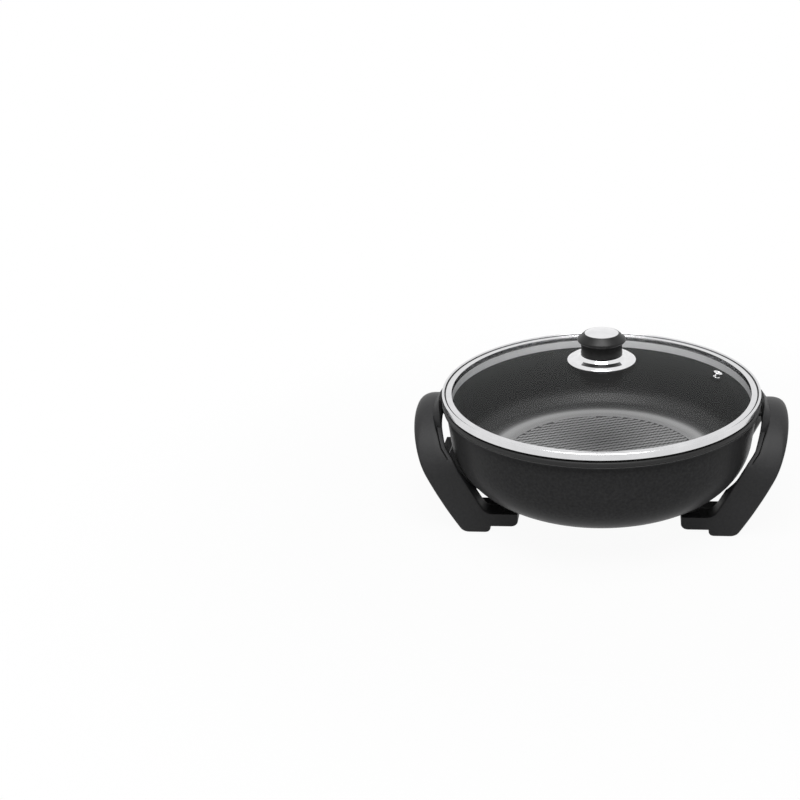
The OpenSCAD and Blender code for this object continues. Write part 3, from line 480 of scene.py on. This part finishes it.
low_edge = Vector((leg_inner_x(0.0) + LEG_W, 0.0))
high_edge = Vector((leg_inner_x(EDGE_Z) + GRIP_W, EDGE_Z))
edge_chord = high_edge - low_edge
edge_normal = Vector((edge_chord.y, -edge_chord.x)).normalized()
edge_centre = (low_edge + high_edge) / 2 - edge_normal * math.sqrt(OUTER_CURVE**2 - (edge_chord.length / 2) ** 2)
FOOT_TOE_R = 8.0
toe_z = FOOT_BOTTOM + FOOT_TOE_R
toe_x = edge_centre.x + math.sqrt((OUTER_CURVE - FOOT_TOE_R) ** 2 - (toe_z - edge_centre.y) ** 2)
toe_end_z = toe_z + FOOT_TOE_R * (toe_z - edge_centre.y) / (OUTER_CURVE - FOOT_TOE_R)


def leg_outer_x(z):
    """The long outer curve, rounded at the foot's toe."""
    if z < toe_end_z:
        return toe_x + math.sqrt(max(0.0, FOOT_TOE_R**2 - (toe_z - z) ** 2))
    return edge_centre.x + math.sqrt(OUTER_CURVE**2 - (z - edge_centre.y) ** 2)


SHELL_TOP_R = 152.34
SHELL_TOP_Z = 114.5
SHELL_BEND = 57.0
SHELL_BEND_R = 92.03
SHELL_BEND_Z = 86.0


def shell_radius(z):
    """Outside radius of the shell at a height: a leaning wall over a rounded bottom edge."""
    if z > SHELL_BEND_Z - SHELL_BEND * math.sin(WALL_TILT):
        return SHELL_TOP_R - (SHELL_TOP_Z - z) * LEAN
    return SHELL_BEND_R + math.sqrt(max(0.0, SHELL_BEND**2 - (SHELL_BEND_Z - z) ** 2))


ROOM_FOOT_Z = 34.0
ROOM_LOW_Z = 65.5
ROOM_HIGH_Z = 84.1
ROOM_R = 156.74


def grip_inner_x(y, z):
    """The inner side of the arch: just outside the shell at its legs, upright beside the lip at its crown."""
    low_room = shell_radius(min(z, ROOM_LOW_Z)) + SHELL_CLEAR
    rise = min(1.0, max(0.0, (z - ROOM_LOW_Z) / (ROOM_HIGH_Z - ROOM_LOW_Z)))
    room = low_room + (ROOM_R - low_room) * rise if z > ROOM_FOOT_Z else 0.0
    return max(leg_inner_x(z), math.sqrt(max(0.0, room**2 - y**2)))


def arch_curve(half, crest, crown_r, shoulder_r, leg_foot, legs, shoulders, crowns):
    """Half an arch from its foot to its crest: a leg, a rounded shoulder and a round crown, as (y, z)."""
    crown_z = crest - crown_r
    bend_y = half - shoulder_r
    bend_z = crown_z + math.sqrt((crown_r - shoulder_r) ** 2 - bend_y**2)
    lift = math.atan2(bend_z - crown_z, bend_y)
    points = [(half, leg_foot + (bend_z - leg_foot) * k / legs) for k in range(legs)]
    for k in range(shoulders):
        turn = lift * k / shoulders
        points.append((bend_y + shoulder_r * math.cos(turn), bend_z + shoulder_r * math.sin(turn)))
    for k in range(crowns + 1):
        turn = lift + (math.pi / 2 - lift) * k / crowns
        points.append((crown_r * math.cos(turn), crown_z + crown_r * math.sin(turn)))
    return points


# A station of the sweep is (outer y, outer z, inner y, inner z, inner x or None where it follows the shell).
PAD_END_R = 5.0
PAD_EDGE = 1.0
FOOT_HEEL_R = 4.0
FOOT_EDGE = 0.8
STATION_GAP = 0.02
FOOT_INNER_X = leg_inner_x(8.0) + 3.0
CROTCH_R = 14.0
LEG_FOOT_Z = 40.0
OUTER_CROWN_R = 76.94
OUTER_SHOULDER_R = 30.0
INNER_CREST_Z = 95.25
INNER_CROWN_R = 54.0
INNER_SHOULDER_R = 25.0
ARCH_STEPS = (6, 10, 30)
stations = []
for k in range(7):
    turn = math.radians(15.0 * k)
    drop = FOOT_EDGE * (1 - math.sin(turn))
    height = FOOT_BOTTOM + FOOT_HEEL_R * (1 - math.cos(turn))
    heel_x = FOOT_INNER_X + FOOT_HEEL_R * (1 - math.sin(turn))
    stations.append((LEG_OUT_Y - drop, height, PAD_IN_Y + drop, height, heel_x))
foot_top = PAD_BOTTOM - STATION_GAP
stations.append((LEG_OUT_Y, foot_top, PAD_IN_Y, foot_top, FOOT_INNER_X))
for k in range(7):
    turn = math.radians(15.0 * k)
    height = PAD_BOTTOM + PAD_END_R * (1 - math.cos(turn))
    stations.append((LEG_OUT_Y, height, PAD_IN_Y, height, PAD_END_X + PAD_END_R * (1 - math.sin(turn))))
for k in range(4):
    turn = math.radians(30.0 * k)
    height = PAD_TOP - PAD_EDGE * (1 - math.sin(turn))
    stations.append((LEG_OUT_Y, height, PAD_IN_Y, height, PAD_END_X + PAD_EDGE * (1 - math.cos(turn))))
crotch_open = math.pi / 2 - math.atan(LEG_LEAN)
crotch_reach = CROTCH_R * math.tan(crotch_open / 2)
crotch_x = leg_inner_x(PAD_TOP) - crotch_reach
for k in range(8):
    turn = crotch_open * k / 7
    height = PAD_TOP + STATION_GAP + CROTCH_R * (1 - math.cos(turn))
    stations.append((LEG_OUT_Y, height, LEG_IN_Y, height, crotch_x + CROTCH_R * math.sin(turn)))
outer_arch = arch_curve(LEG_OUT_Y, CREST_Z, OUTER_CROWN_R, OUTER_SHOULDER_R, LEG_FOOT_Z, *ARCH_STEPS)
inner_arch = arch_curve(LEG_IN_Y, INNER_CREST_Z, INNER_CROWN_R, INNER_SHOULDER_R, LEG_FOOT_Z, *ARCH_STEPS)
stations += [(*outer, *inner, None) for outer, inner in zip(outer_arch, inner_arch)]
stations += [(-y0, z0, -y1, z1, x) for y0, z0, y1, z1, x in reversed(stations[:-1])]

# The finger strip sinks in from the shoulder up, with a slit beside it, and ends before the ear.
STRIP_W = 7.0
STRIP_NARROW = 1.4
STRIP_D = 5.0
STRIP_SOFT = 1.6
STRIP_SOFT_MID = 0.47
STRIP_FROM = 75.0
STRIP_FULL = 106.0
STRIP_END_Y = 29.0
SLIT_D = 3.0
SLIT_W = 1.9
SLIT_LIP = 0.6
# The outer edge is rolled more and more towards the crest, and the outer side tapers to the inside of the arch.
EDGE_SOFT = 3.0
CREST_SOFT = (18.0, 8.0)
INNER_SOFT = 2.5
TAPER = 6.5
TAPER_FROM = 25.0
TAPER_RUN = 30.0


def grip_section(y0, z0, y1, z1, fixed_x):
    """One closed section of the handle across its arch, from the inner lower edge round to the start."""
    thick = math.hypot(y0 - y1, z0 - z1)
    draft = TAPER * min(1.0, max(0.0, (z0 - TAPER_FROM) / TAPER_RUN))
    crest = min(1.0, max(0.0, (z0 - STRIP_FROM) / (CREST_Z - STRIP_FROM))) ** 2
    roll_in = EDGE_SOFT + (CREST_SOFT[0] - EDGE_SOFT) * crest
    roll_down = EDGE_SOFT + (CREST_SOFT[1] - EDGE_SOFT) * crest

    def at(depth, from_inner, shift):
        """A point `depth` in from the arch's outside, `shift` from its inner or outer side."""
        part = depth / thick
        y, z = y0 + (y1 - y0) * part, z0 + (z1 - z0) * part
        inner = grip_inner_x(y, z) if fixed_x is None else fixed_x
        drawn_in = draft * max(0.0, depth - roll_down) / (thick - roll_down)
        x = inner + shift if from_inner else leg_outer_x(z) - shift - drawn_in
        return (x, y, z)

    soft = [(INNER_SOFT * (1 - math.sin(t)), INNER_SOFT * (1 - math.cos(t))) for t in (0.0, 0.52, 1.05, 1.57)]
    loop = [at(thick - up, True, shift) for shift, up in soft]
    sunk = min(1.0, max(0.0, (z0 - STRIP_FROM) / (STRIP_FULL - STRIP_FROM))) if abs(y0) > STRIP_END_Y else 0.0
    width = STRIP_W - STRIP_NARROW * (1 - sunk)
    strip = STRIP_D * sunk
    slit = strip + SLIT_D * math.sqrt(sunk)
    face_start = thick - INNER_SOFT
    loop += [at(face_start - (face_start - strip - STRIP_SOFT) * k / 4, True, 0.0) for k in (1, 2, 3, 4)]
    loop += [at(strip + STRIP_SOFT_MID, True, STRIP_SOFT_MID), at(strip, True, STRIP_SOFT)]
    loop += [at(strip, True, width - SLIT_W), at(slit, True, width - SLIT_W / 2)]
    loop += [at(0.35 * sunk, True, width - 0.1), at(0.0, True, width + SLIT_LIP)]
    for k in (1, 2, 3):
        inner_end = Vector(at(0.0, True, width + SLIT_LIP))
        outer_end = Vector(at(0.0, False, roll_in))
        loop.append(tuple(inner_end.lerp(outer_end, k / 4)))
    for k in range(9):
        turn = math.pi / 2 * k / 8
        loop.append(at(roll_down * (1 - math.cos(turn)), False, roll_in * (1 - math.sin(turn))))
    loop += [at(roll_down + (thick - INNER_SOFT - roll_down) * k / 3, False, 0.0) for k in (1, 2)]
    loop += [at(thick - up, False, shift) for shift, up in reversed(soft)]
    for k in (1, 2, 3):
        outer_end = Vector(at(thick, False, INNER_SOFT))
        inner_end = Vector(at(thick, True, INNER_SOFT))
        loop.append(tuple(outer_end.lerp(inner_end, k / 4)))
    return loop


EAR_HALF = 38.0
EAR_Z = 118.33
EAR_END_R = 22.0
EAR_CLEAR_R = LIP_R + 3.2
EAR_FLAT = 0.6
EAR_ROOT_Z = 96.7
EAR_SLOPE = math.tan(math.radians(55.0))
EAR_STEPS = 16
ear_reach = EAR_HALF - EAR_END_R + math.sqrt(EAR_END_R**2 - (EAR_ROOT_Z + 0.1 - EAR_Z + EAR_END_R) ** 2)


def ear_outline(y):
    """Section of the ear at a depth: it follows the lip round and slopes down into the crown."""
    past = max(0.0, abs(y) - EAR_HALF + EAR_END_R)
    top = EAR_Z - EAR_END_R + math.sqrt(EAR_END_R**2 - past**2)
    near = math.sqrt(EAR_CLEAR_R**2 - y**2)
    flat_end = math.sqrt((EAR_CLEAR_R + EAR_FLAT) ** 2 - y**2)
    foot_x = flat_end + (top - EAR_ROOT_Z) / EAR_SLOPE
    corners = [(near, EAR_ROOT_Z, 0.0), (near, top, 0.8), (flat_end, top, 1.6), (foot_x, EAR_ROOT_Z, 0.0)]
    return rounded(corners, per_quarter=8)


def loft(bm, loops):
    """Skins a run of closed loops of points in millimetres and closes both ends."""
    rings = [[bm.verts.new((x * MM, y * MM, z * MM)) for x, y, z in loop] for loop in loops]
    for near, far in zip(rings, rings[1:]):
        for k in range(len(near)):
            ahead = (k + 1) % len(near)
            bm.faces.new((near[k], near[ahead], far[ahead], far[k]))
    bm.faces.new(rings[0])
    bm.faces.new(rings[-1])


def handle(name, side, node):
    """One handle: the swept arch, closed at both feet, with its ear."""
    bm = bmesh.new()
    loft(bm, [[(side * x, y, z) for x, y, z in grip_section(*station)] for station in stations])
    ear_places = [ear_reach * math.sin(math.pi / 2 * (k / EAR_STEPS - 1)) for k in range(2 * EAR_STEPS + 1)]
    loft(bm, [[(side * x, y, z) for x, z in ear_outline(y)] for y in ear_places])
    return piece(name, bm, handle_black, "base", "handle_phenolic", node)


handle_black = coat(
    "handle_black", (0.026, 0.026, 0.027), (0.038, 0.038, 0.039), 420.0, 2400.0, (0.42, 0.5), 0.04, specular=0.17
)
handle("right_grip", 1.0, "right_handle")
handle("left_grip", -1.0, "left_handle")

# Handle fixings and feet
# Black lugs under the ears and black spacers between pads and bowl, with plated screws and nuts.
# A rubber sole is let into each foot and carries the pan on the table.
spacer_black = coat("spacer_black", (0.012, 0.012, 0.012), (0.022, 0.022, 0.022), 400.0, 2200.0, (0.3, 0.42), 0.15)
sole_rubber = coat("sole_rubber", (0.012, 0.012, 0.012), (0.03, 0.03, 0.03), 350.0, 1800.0, (0.7, 0.85), 0.35)
for fixing in ("handle_screws", "foot_screws", "foot_nuts"):
    dress(fixing, zinc_plating)
for spacer in ("handle_lugs", "foot_bosses"):
    dress(spacer, spacer_black)
dress("rubber_feet", sole_rubber)

# Lid glass
# Clear tempered dome, 3.6 mm thick, with a flat edge that the band is folded round.
# Its faint reflection and its slightly cool tint vary a little over the pressing.
GLASS_T = 3.6
GLASS_Z = 122.6
GLASS_EDGE_R = 154.2
DOME_EDGE_R = 145.8
DOME_TOP = 156.2
dome_rise = DOME_TOP - GLASS_Z - GLASS_T
DOME_R = (DOME_EDGE_R**2 + dome_rise**2) / (2 * dome_rise)


def dome_height(radius, depth=0.0):
    """Height of the dome, or of the surface that lies `depth` under it, at a radius."""
    return DOME_TOP - DOME_R + math.sqrt((DOME_R - depth) ** 2 - radius**2)


DOME_STEPS = 40
inner_edge_r = math.sqrt((DOME_R - GLASS_T) ** 2 - (GLASS_Z - DOME_TOP + DOME_R) ** 2)
glass_outline = []
for k in range(DOME_STEPS + 1):
    radius = DOME_EDGE_R * k / DOME_STEPS
    glass_outline.append((radius, dome_height(radius)))
glass_outline += [
    (GLASS_EDGE_R - 0.4, GLASS_Z + GLASS_T),
    (GLASS_EDGE_R, GLASS_Z + GLASS_T - 0.4),
    (GLASS_EDGE_R, GLASS_Z + 0.4),
    (GLASS_EDGE_R - 0.4, GLASS_Z),
]
for k in range(DOME_STEPS + 1):
    radius = inner_edge_r * (1 - k / DOME_STEPS)
    glass_outline.append((radius, dome_height(radius, GLASS_T)))
glass_bm = bmesh.new()
lathe(glass_bm, glass_outline, turns=160)
clear_glass = coat(
    "clear_glass", (0.88, 0.94, 0.93), (0.95, 0.98, 0.97), 20.0, 60.0, (0.01, 0.03), 0.0, metallic=1.0
)
GLASS_FACE = 0.004
GLASS_EDGE = 0.06
tree = clear_glass.node_tree
slant = tree.nodes.new("ShaderNodeLayerWeight")
slant.inputs["Blend"].default_value = 0.5
steep = tree.nodes.new("ShaderNodeMath")
steep.operation = "POWER"
steep.inputs[1].default_value = 4.0
sheen = tree.nodes.new("ShaderNodeMapRange")
sheen.inputs["To Min"].default_value = GLASS_FACE
sheen.inputs["To Max"].default_value = GLASS_EDGE
tree.links.new(slant.outputs["Facing"], steep.inputs[0])
tree.links.new(steep.outputs["Value"], sheen.inputs["Value"])
tree.links.new(sheen.outputs["Result"], tree.nodes["Principled BSDF"].inputs["Alpha"])
piece("lid_dome", glass_bm, clear_glass, "lid", "lid_glass", "lid_glass")

# Lid band
# Bright stainless strip folded over the edge of the glass, with a rolled outer bead and beside it a dark ring laid in
# the groove as painted shade.
# A skirt hangs inside the pan's mouth and keeps the lid in its place; its near-white, barely metallic colour is
# painted sheen standing for lit satin steel.
BAND_R = 155.0
BAND_Z = 121.8
BAND_TOP = 126.9
BEAD_IN_R = 152.6
BEAD_RISE = 1.4
SHADE_RING_R = 151.4
SHADE_RING_Z = 126.3
SKIRT_R = 146.75
SKIRT_T = 0.8
SKIRT_FOOT = 113.8
band_outline = rounded(
    [
        (SKIRT_R - SKIRT_T, BAND_Z, 0.0),
        (SKIRT_R - SKIRT_T, GLASS_Z, 0.0),
        (GLASS_EDGE_R, GLASS_Z, 0.0),
        (GLASS_EDGE_R, GLASS_Z + GLASS_T, 0.0),
        (DOME_EDGE_R, GLASS_Z + GLASS_T, 0.0),
        (DOME_EDGE_R, BAND_TOP, 0.35),
        (SHADE_RING_R - 0.1, BAND_TOP, 0.3),
        (SHADE_RING_R, SHADE_RING_Z, 0.1),
        (BEAD_IN_R, SHADE_RING_Z, 0.1),
        (BEAD_IN_R, BAND_TOP + BEAD_RISE, 1.1),
        (BAND_R, BAND_TOP + BEAD_RISE, 1.2),
        (BAND_R, BAND_Z, 0.9),
    ],
    per_quarter=10,
)
band_bm = bmesh.new()
lathe(band_bm, band_outline, turns=192)
polished_steel = coat(
    "polished_steel", (0.64, 0.64, 0.65), (0.74, 0.74, 0.75), 60.0, 900.0, (0.15, 0.17), 0.003, metallic=1.0
)
piece("lid_ring", band_bm, polished_steel, "lid", "band_steel", "lid_band")

skirt_outline = rounded(
    [
        (SKIRT_R - SKIRT_T, SKIRT_FOOT, 0.3),
        (SKIRT_R - SKIRT_T, BAND_Z - 0.01, 0.0),
        (SKIRT_R, BAND_Z - 0.01, 0.0),
        (SKIRT_R, SKIRT_FOOT, 0.3),
    ]
)
skirt_bm = bmesh.new()
lathe(skirt_bm, skirt_outline, turns=192)
# Near-white and barely metallic: painted sheen standing for the bright satin steel of the band.
skirt_painted_sheen = coat(
    "skirt_painted_sheen", (0.86, 0.86, 0.87), (0.93, 0.93, 0.94), 60.0, 1200.0, (0.4, 0.5), 0.02, metallic=0.05
)
piece("lid_skirt", skirt_bm, skirt_painted_sheen, "lid", "band_steel")

shade_ring_outline = rounded(
    [
        (SHADE_RING_R + 0.1, SHADE_RING_Z + 0.01, 0.0),
        (BEAD_IN_R - 0.1, SHADE_RING_Z + 0.01, 0.0),
        (BEAD_IN_R - 0.1, BAND_TOP - 0.1, 0.2),
        (SHADE_RING_R + 0.1, BAND_TOP - 0.1, 0.2),
    ]
)
shade_ring_bm = bmesh.new()
lathe(shade_ring_bm, shade_ring_outline, turns=192)
# Near-black ring in the band's groove and round the vent's head: painted shade.
painted_shade_ring = coat("painted_shade_ring", (0.012, 0.012, 0.012), (0.02, 0.02, 0.02), 300.0, 2200.0, (0.5, 0.6), 0.05, specular=0.2)
piece("lid_groove_shade", shade_ring_bm, painted_shade_ring, "lid", "seal_silicone")

# Steam vent
# Small bright eyelet rolled through a hole in the glass at the right, square to the dome.
# Its head sits inside a thin dark ring that is painted shade round it.
VENT_AT = 114.0
VENT_TURN = 5.0
VENT_BORE = 1.8
VENT_NECK = 2.4
VENT_HEAD = 4.4
VENT_SHADE_R = 5.0
bright_chrome = coat("bright_chrome", (0.74, 0.74, 0.75), (0.84, 0.84, 0.85), 120.0, 1500.0, (0.05, 0.1), 0.03, 1.0)
vent_place = (
    Matrix.Rotation(math.radians(VENT_TURN), 4, "Z")
    @ Matrix.Translation((VENT_AT * MM, 0.0, dome_height(VENT_AT) * MM))
    @ Matrix.Rotation(math.asin(VENT_AT / DOME_R), 4, "Y")
)
eyelet_outline = rounded(
    [
        (VENT_BORE, -GLASS_T - 0.8, 0.2),
        (VENT_NECK + 0.9, -GLASS_T - 0.8, 0.3),
        (VENT_NECK + 0.9, -GLASS_T - 0.05, 0.2),
        (VENT_NECK, -GLASS_T - 0.05, 0.0),
        (VENT_NECK, 0.1, 0.0),
        (VENT_HEAD, 0.1, 0.2),
        (VENT_HEAD, 1.0, 0.5),
        (VENT_BORE + 0.6, 1.4, 0.6),
        (VENT_BORE, 0.6, 0.4),
    ]
)
vent_shade_outline = rounded(
    [(VENT_HEAD + 0.05, 0.05, 0.0), (VENT_SHADE_R, 0.05, 0.1), (VENT_SHADE_R, 0.5, 0.2), (VENT_HEAD + 0.05, 0.6, 0.1)]
)
for part, outline, finish, kind, stands in (
    ("vent_ring", eyelet_outline, bright_chrome, "trim_chrome", ("vent_eyelet",)),
    ("vent_shade", vent_shade_outline, painted_shade_ring, "seal_silicone", ()),
):
    vent_bm = bmesh.new()
    lathe(vent_bm, outline, turns=48)
    bmesh.ops.transform(vent_bm, matrix=vent_place, verts=vent_bm.verts)
    piece(part, vent_bm, finish, "lid", kind, *stands)

# Knob
# Bright pressed dish on the glass, a waisted black moulding over it, and a bright domed cap let into its top.
# One screw from under the glass goes up into a brass insert, between two seals.
DISH_RIM_R = 33.2
DISH_RIM_Z = dome_height(DISH_RIM_R - 1.2)
DISH_T = 1.2
STEM_R = 20.4
STEM_Z = DISH_RIM_Z + 6.4
HUB_R = 9.7
dish_top = rounded(
    [
        (HUB_R, STEM_Z, 0.0),
        (STEM_R, STEM_Z, 0.4),
        (STEM_R + 3.2, DISH_RIM_Z + 3.7, 1.2),
        (DISH_RIM_R - 3.2, DISH_RIM_Z + 3.0, 2.0),
        (DISH_RIM_R, DISH_RIM_Z + 0.9, 1.2),
        (DISH_RIM_R, DISH_RIM_Z, 0.3),
        (DISH_RIM_R - DISH_T, DISH_RIM_Z, 0.3),
        (DISH_RIM_R - 3.8, DISH_RIM_Z + 1.8, 2.0),
        (STEM_R + 2.6, DISH_RIM_Z + 2.6, 1.2),
        (STEM_R - 1.0, STEM_Z - DISH_T, 0.4),
        (HUB_R, STEM_Z - DISH_T, 0.0),
    ],
    per_quarter=16,
)
dish_bm = bmesh.new()
lathe(dish_bm, dish_top, turns=128)
piece("knob_dish", dish_bm, bright_chrome, "lid", "trim_chrome", "knob_skirt")

KNOB_BASE = DOME_TOP + 1.5
FLANGE_R = 23.6
FLANGE_Z = STEM_Z + 15.2
KNOB_TOP = FLANGE_Z + 6.0
CAP_R = 16.3
CAP_SEAT = 1.2
knob_outline = rounded(
    [
        (0.0, KNOB_BASE, 0.0),
        (HUB_R - 0.2, KNOB_BASE, 0.0),
        (HUB_R - 0.2, STEM_Z + 0.02, 0.0),
        (STEM_R, STEM_Z + 0.02, 1.6),
        (STEM_R - 0.9, STEM_Z + 5.6, 14.0),
        (STEM_R, FLANGE_Z - 3.0, 0.8),
        (FLANGE_R - 0.9, FLANGE_Z - 1.8, 0.5),
        (FLANGE_R, FLANGE_Z - 0.8, 0.7),
        (FLANGE_R - 0.3, FLANGE_Z + 0.6, 0.9),
        (CAP_R + 0.9, KNOB_TOP - 0.2, 0.7),
        (CAP_R + 0.15, KNOB_TOP - 0.2, 0.3),
        (CAP_R + 0.15, KNOB_TOP - CAP_SEAT, 0.0),
        (0.0, KNOB_TOP - CAP_SEAT, 0.0),
    ],
    per_quarter=8,
)
knob_bm = bmesh.new()
lathe(knob_bm, knob_outline, turns=128)
knob_black = coat(
    "knob_black", (0.008, 0.008, 0.008), (0.014, 0.014, 0.014), 300.0, 2400.0, (0.32, 0.42), 0.08, specular=0.25
)
piece("knob_grip", knob_bm, knob_black, "lid", "knob_phenolic", "knob_body")

CAP_RISE = 3.0
cap_bend = (CAP_R**2 + CAP_RISE**2) / (2 * CAP_RISE)
CAP_STEPS = 16
cap_outline = []
for k in range(CAP_STEPS + 1):
    radius = CAP_R * k / CAP_STEPS
    cap_outline.append((radius, KNOB_TOP + CAP_RISE - cap_bend + math.sqrt(cap_bend**2 - radius**2)))
cap_outline += [(CAP_R, KNOB_TOP - CAP_SEAT + 0.05), (0.0, KNOB_TOP - CAP_SEAT + 0.05)]
cap_bm = bmesh.new()
lathe(cap_bm, cap_outline, turns=96)
piece("knob_top", cap_bm, bright_chrome, "lid", "trim_chrome", "knob_cap")

turned_brass = coat("turned_brass", (0.5, 0.36, 0.14), (0.64, 0.48, 0.22), 300.0, 1800.0, (0.25, 0.38), 0.1, 1.0)
dress("knob_insert", turned_brass)
dress("knob_screw", zinc_plating)
dress("knob_washer", zinc_plating)
dress("knob_seals", grey_silicone)

# Studio
# Pale floor that fades into a white surround, and one large round soft light high in front.
# Camera, metal and glass see floor and surround as plain white; the shadow under the pan stays faintly in it.
FLOOR_R = 1.2
FLOOR_TONE = 0.7
FLOOR_PLAIN = 0.95
FADE_FROM = 0.22
FADE_TO = 0.6
ROOM_DIM = 0.15
floor_mesh = bpy.data.meshes.new("floor")
floor_bm = bmesh.new()
bmesh.ops.create_circle(floor_bm, cap_ends=True, segments=96, radius=FLOOR_R)
floor_bm.to_mesh(floor_mesh)
floor_bm.free()
floor = bpy.data.objects.new("floor", floor_mesh)
bpy.context.scene.collection.objects.link(floor)
floor_mat = bpy.data.materials.new("floor_pale")
floor_mat.use_nodes = True
tree = floor_mat.node_tree
shader = tree.nodes["Principled BSDF"]
shader.inputs["Roughness"].default_value = 0.9
shader.inputs["Base Color"].default_value = (FLOOR_TONE, FLOOR_TONE, FLOOR_TONE, 1.0)
place = tree.nodes.new("ShaderNodeTexCoord")
ring = tree.nodes.new("ShaderNodeVectorMath")
ring.operation = "LENGTH"
fade = tree.nodes.new("ShaderNodeMapRange")
fade.interpolation_type = "SMOOTHSTEP"
fade.inputs["From Min"].default_value = FADE_FROM
fade.inputs["From Max"].default_value = FADE_TO
fade.inputs["To Min"].default_value = 1.0
fade.inputs["To Max"].default_value = 0.0


def seen_ray(tree):
    """One for rays that show the ground itself: the camera's, and those that metal and glass send on."""
    path = tree.nodes.new("ShaderNodeLightPath")
    mirrored = step(
        tree, "ShaderNodeMath", "MAXIMUM", i0=path.outputs["Is Camera Ray"], i1=path.outputs["Is Glossy Ray"]
    )
    shown = step(
        tree, "ShaderNodeMath", "MAXIMUM", i0=mirrored.outputs[0], i1=path.outputs["Is Transmission Ray"]
    )
    return shown.outputs[0]


plain = tree.nodes.new("ShaderNodeMath")
plain.operation = "MULTIPLY"
plain.inputs[1].default_value = FLOOR_PLAIN
white = tree.nodes.new("ShaderNodeEmission")
mixed = tree.nodes.new("ShaderNodeMixShader")
clear = tree.nodes.new("ShaderNodeBsdfTransparent")
faded = tree.nodes.new("ShaderNodeMixShader")
tree.links.new(place.outputs["Object"], ring.inputs[0])
tree.links.new(ring.outputs["Value"], fade.inputs["Value"])
tree.links.new(seen_ray(tree), plain.inputs[0])
tree.links.new(plain.outputs["Value"], mixed.inputs["Fac"])
tree.links.new(shader.outputs["BSDF"], mixed.inputs[1])
tree.links.new(white.outputs["Emission"], mixed.inputs[2])
tree.links.new(fade.outputs["Result"], faded.inputs["Fac"])
tree.links.new(clear.outputs["BSDF"], faded.inputs[1])
tree.links.new(mixed.outputs["Shader"], faded.inputs[2])
tree.links.new(faded.outputs["Shader"], tree.nodes["Material Output"].inputs["Surface"])
floor_mesh.materials.append(floor_mat)

world = bpy.data.worlds.new("studio")
bpy.context.scene.world = world
world.use_nodes = True
tree = world.node_tree
ground = tree.nodes["Background"]
ground.inputs["Color"].default_value = (1.0, 1.0, 1.0, 1.0)
level = tree.nodes.new("ShaderNodeMapRange")
level.inputs["To Min"].default_value = ROOM_DIM
level.inputs["To Max"].default_value = 1.0
tree.links.new(seen_ray(tree), level.inputs["Value"])
tree.links.new(level.outputs["Result"], ground.inputs["Strength"])

lamp = bpy.data.lights.new("key", "AREA")
lamp.shape = "DISK"
lamp.size = 1.1
lamp.energy = 19.0
lamp_object = bpy.data.objects.new("key", lamp)
bpy.context.scene.collection.objects.link(lamp_object)
lamp_object.location = (0.0, -0.5, 1.4)
aim = Vector((0.0, 0.0, 0.08)) - lamp_object.location
lamp_object.rotation_euler = aim.to_track_quat("-Z", "Y").to_euler()

# Camera
# Looks down by about 23 degrees from 1.1 m, a little from the right.
# The lens is shifted so that the object stands in the right half of the frame.
camera = bpy.data.cameras.new("camera")
camera.sensor_width = 36.0
camera.lens = 49.32
camera.shift_x = -0.252
camera_object = bpy.data.objects.new("camera", camera)
bpy.context.scene.collection.objects.link(camera_object)
camera_object.location = (0.0346, -0.9915, 0.5362)
camera_object.rotation_euler = (math.radians(66.86), 0.0, math.radians(2.0))
bpy.context.scene.camera = camera_object
bpy.context.scene.view_settings.view_transform = "Standard"
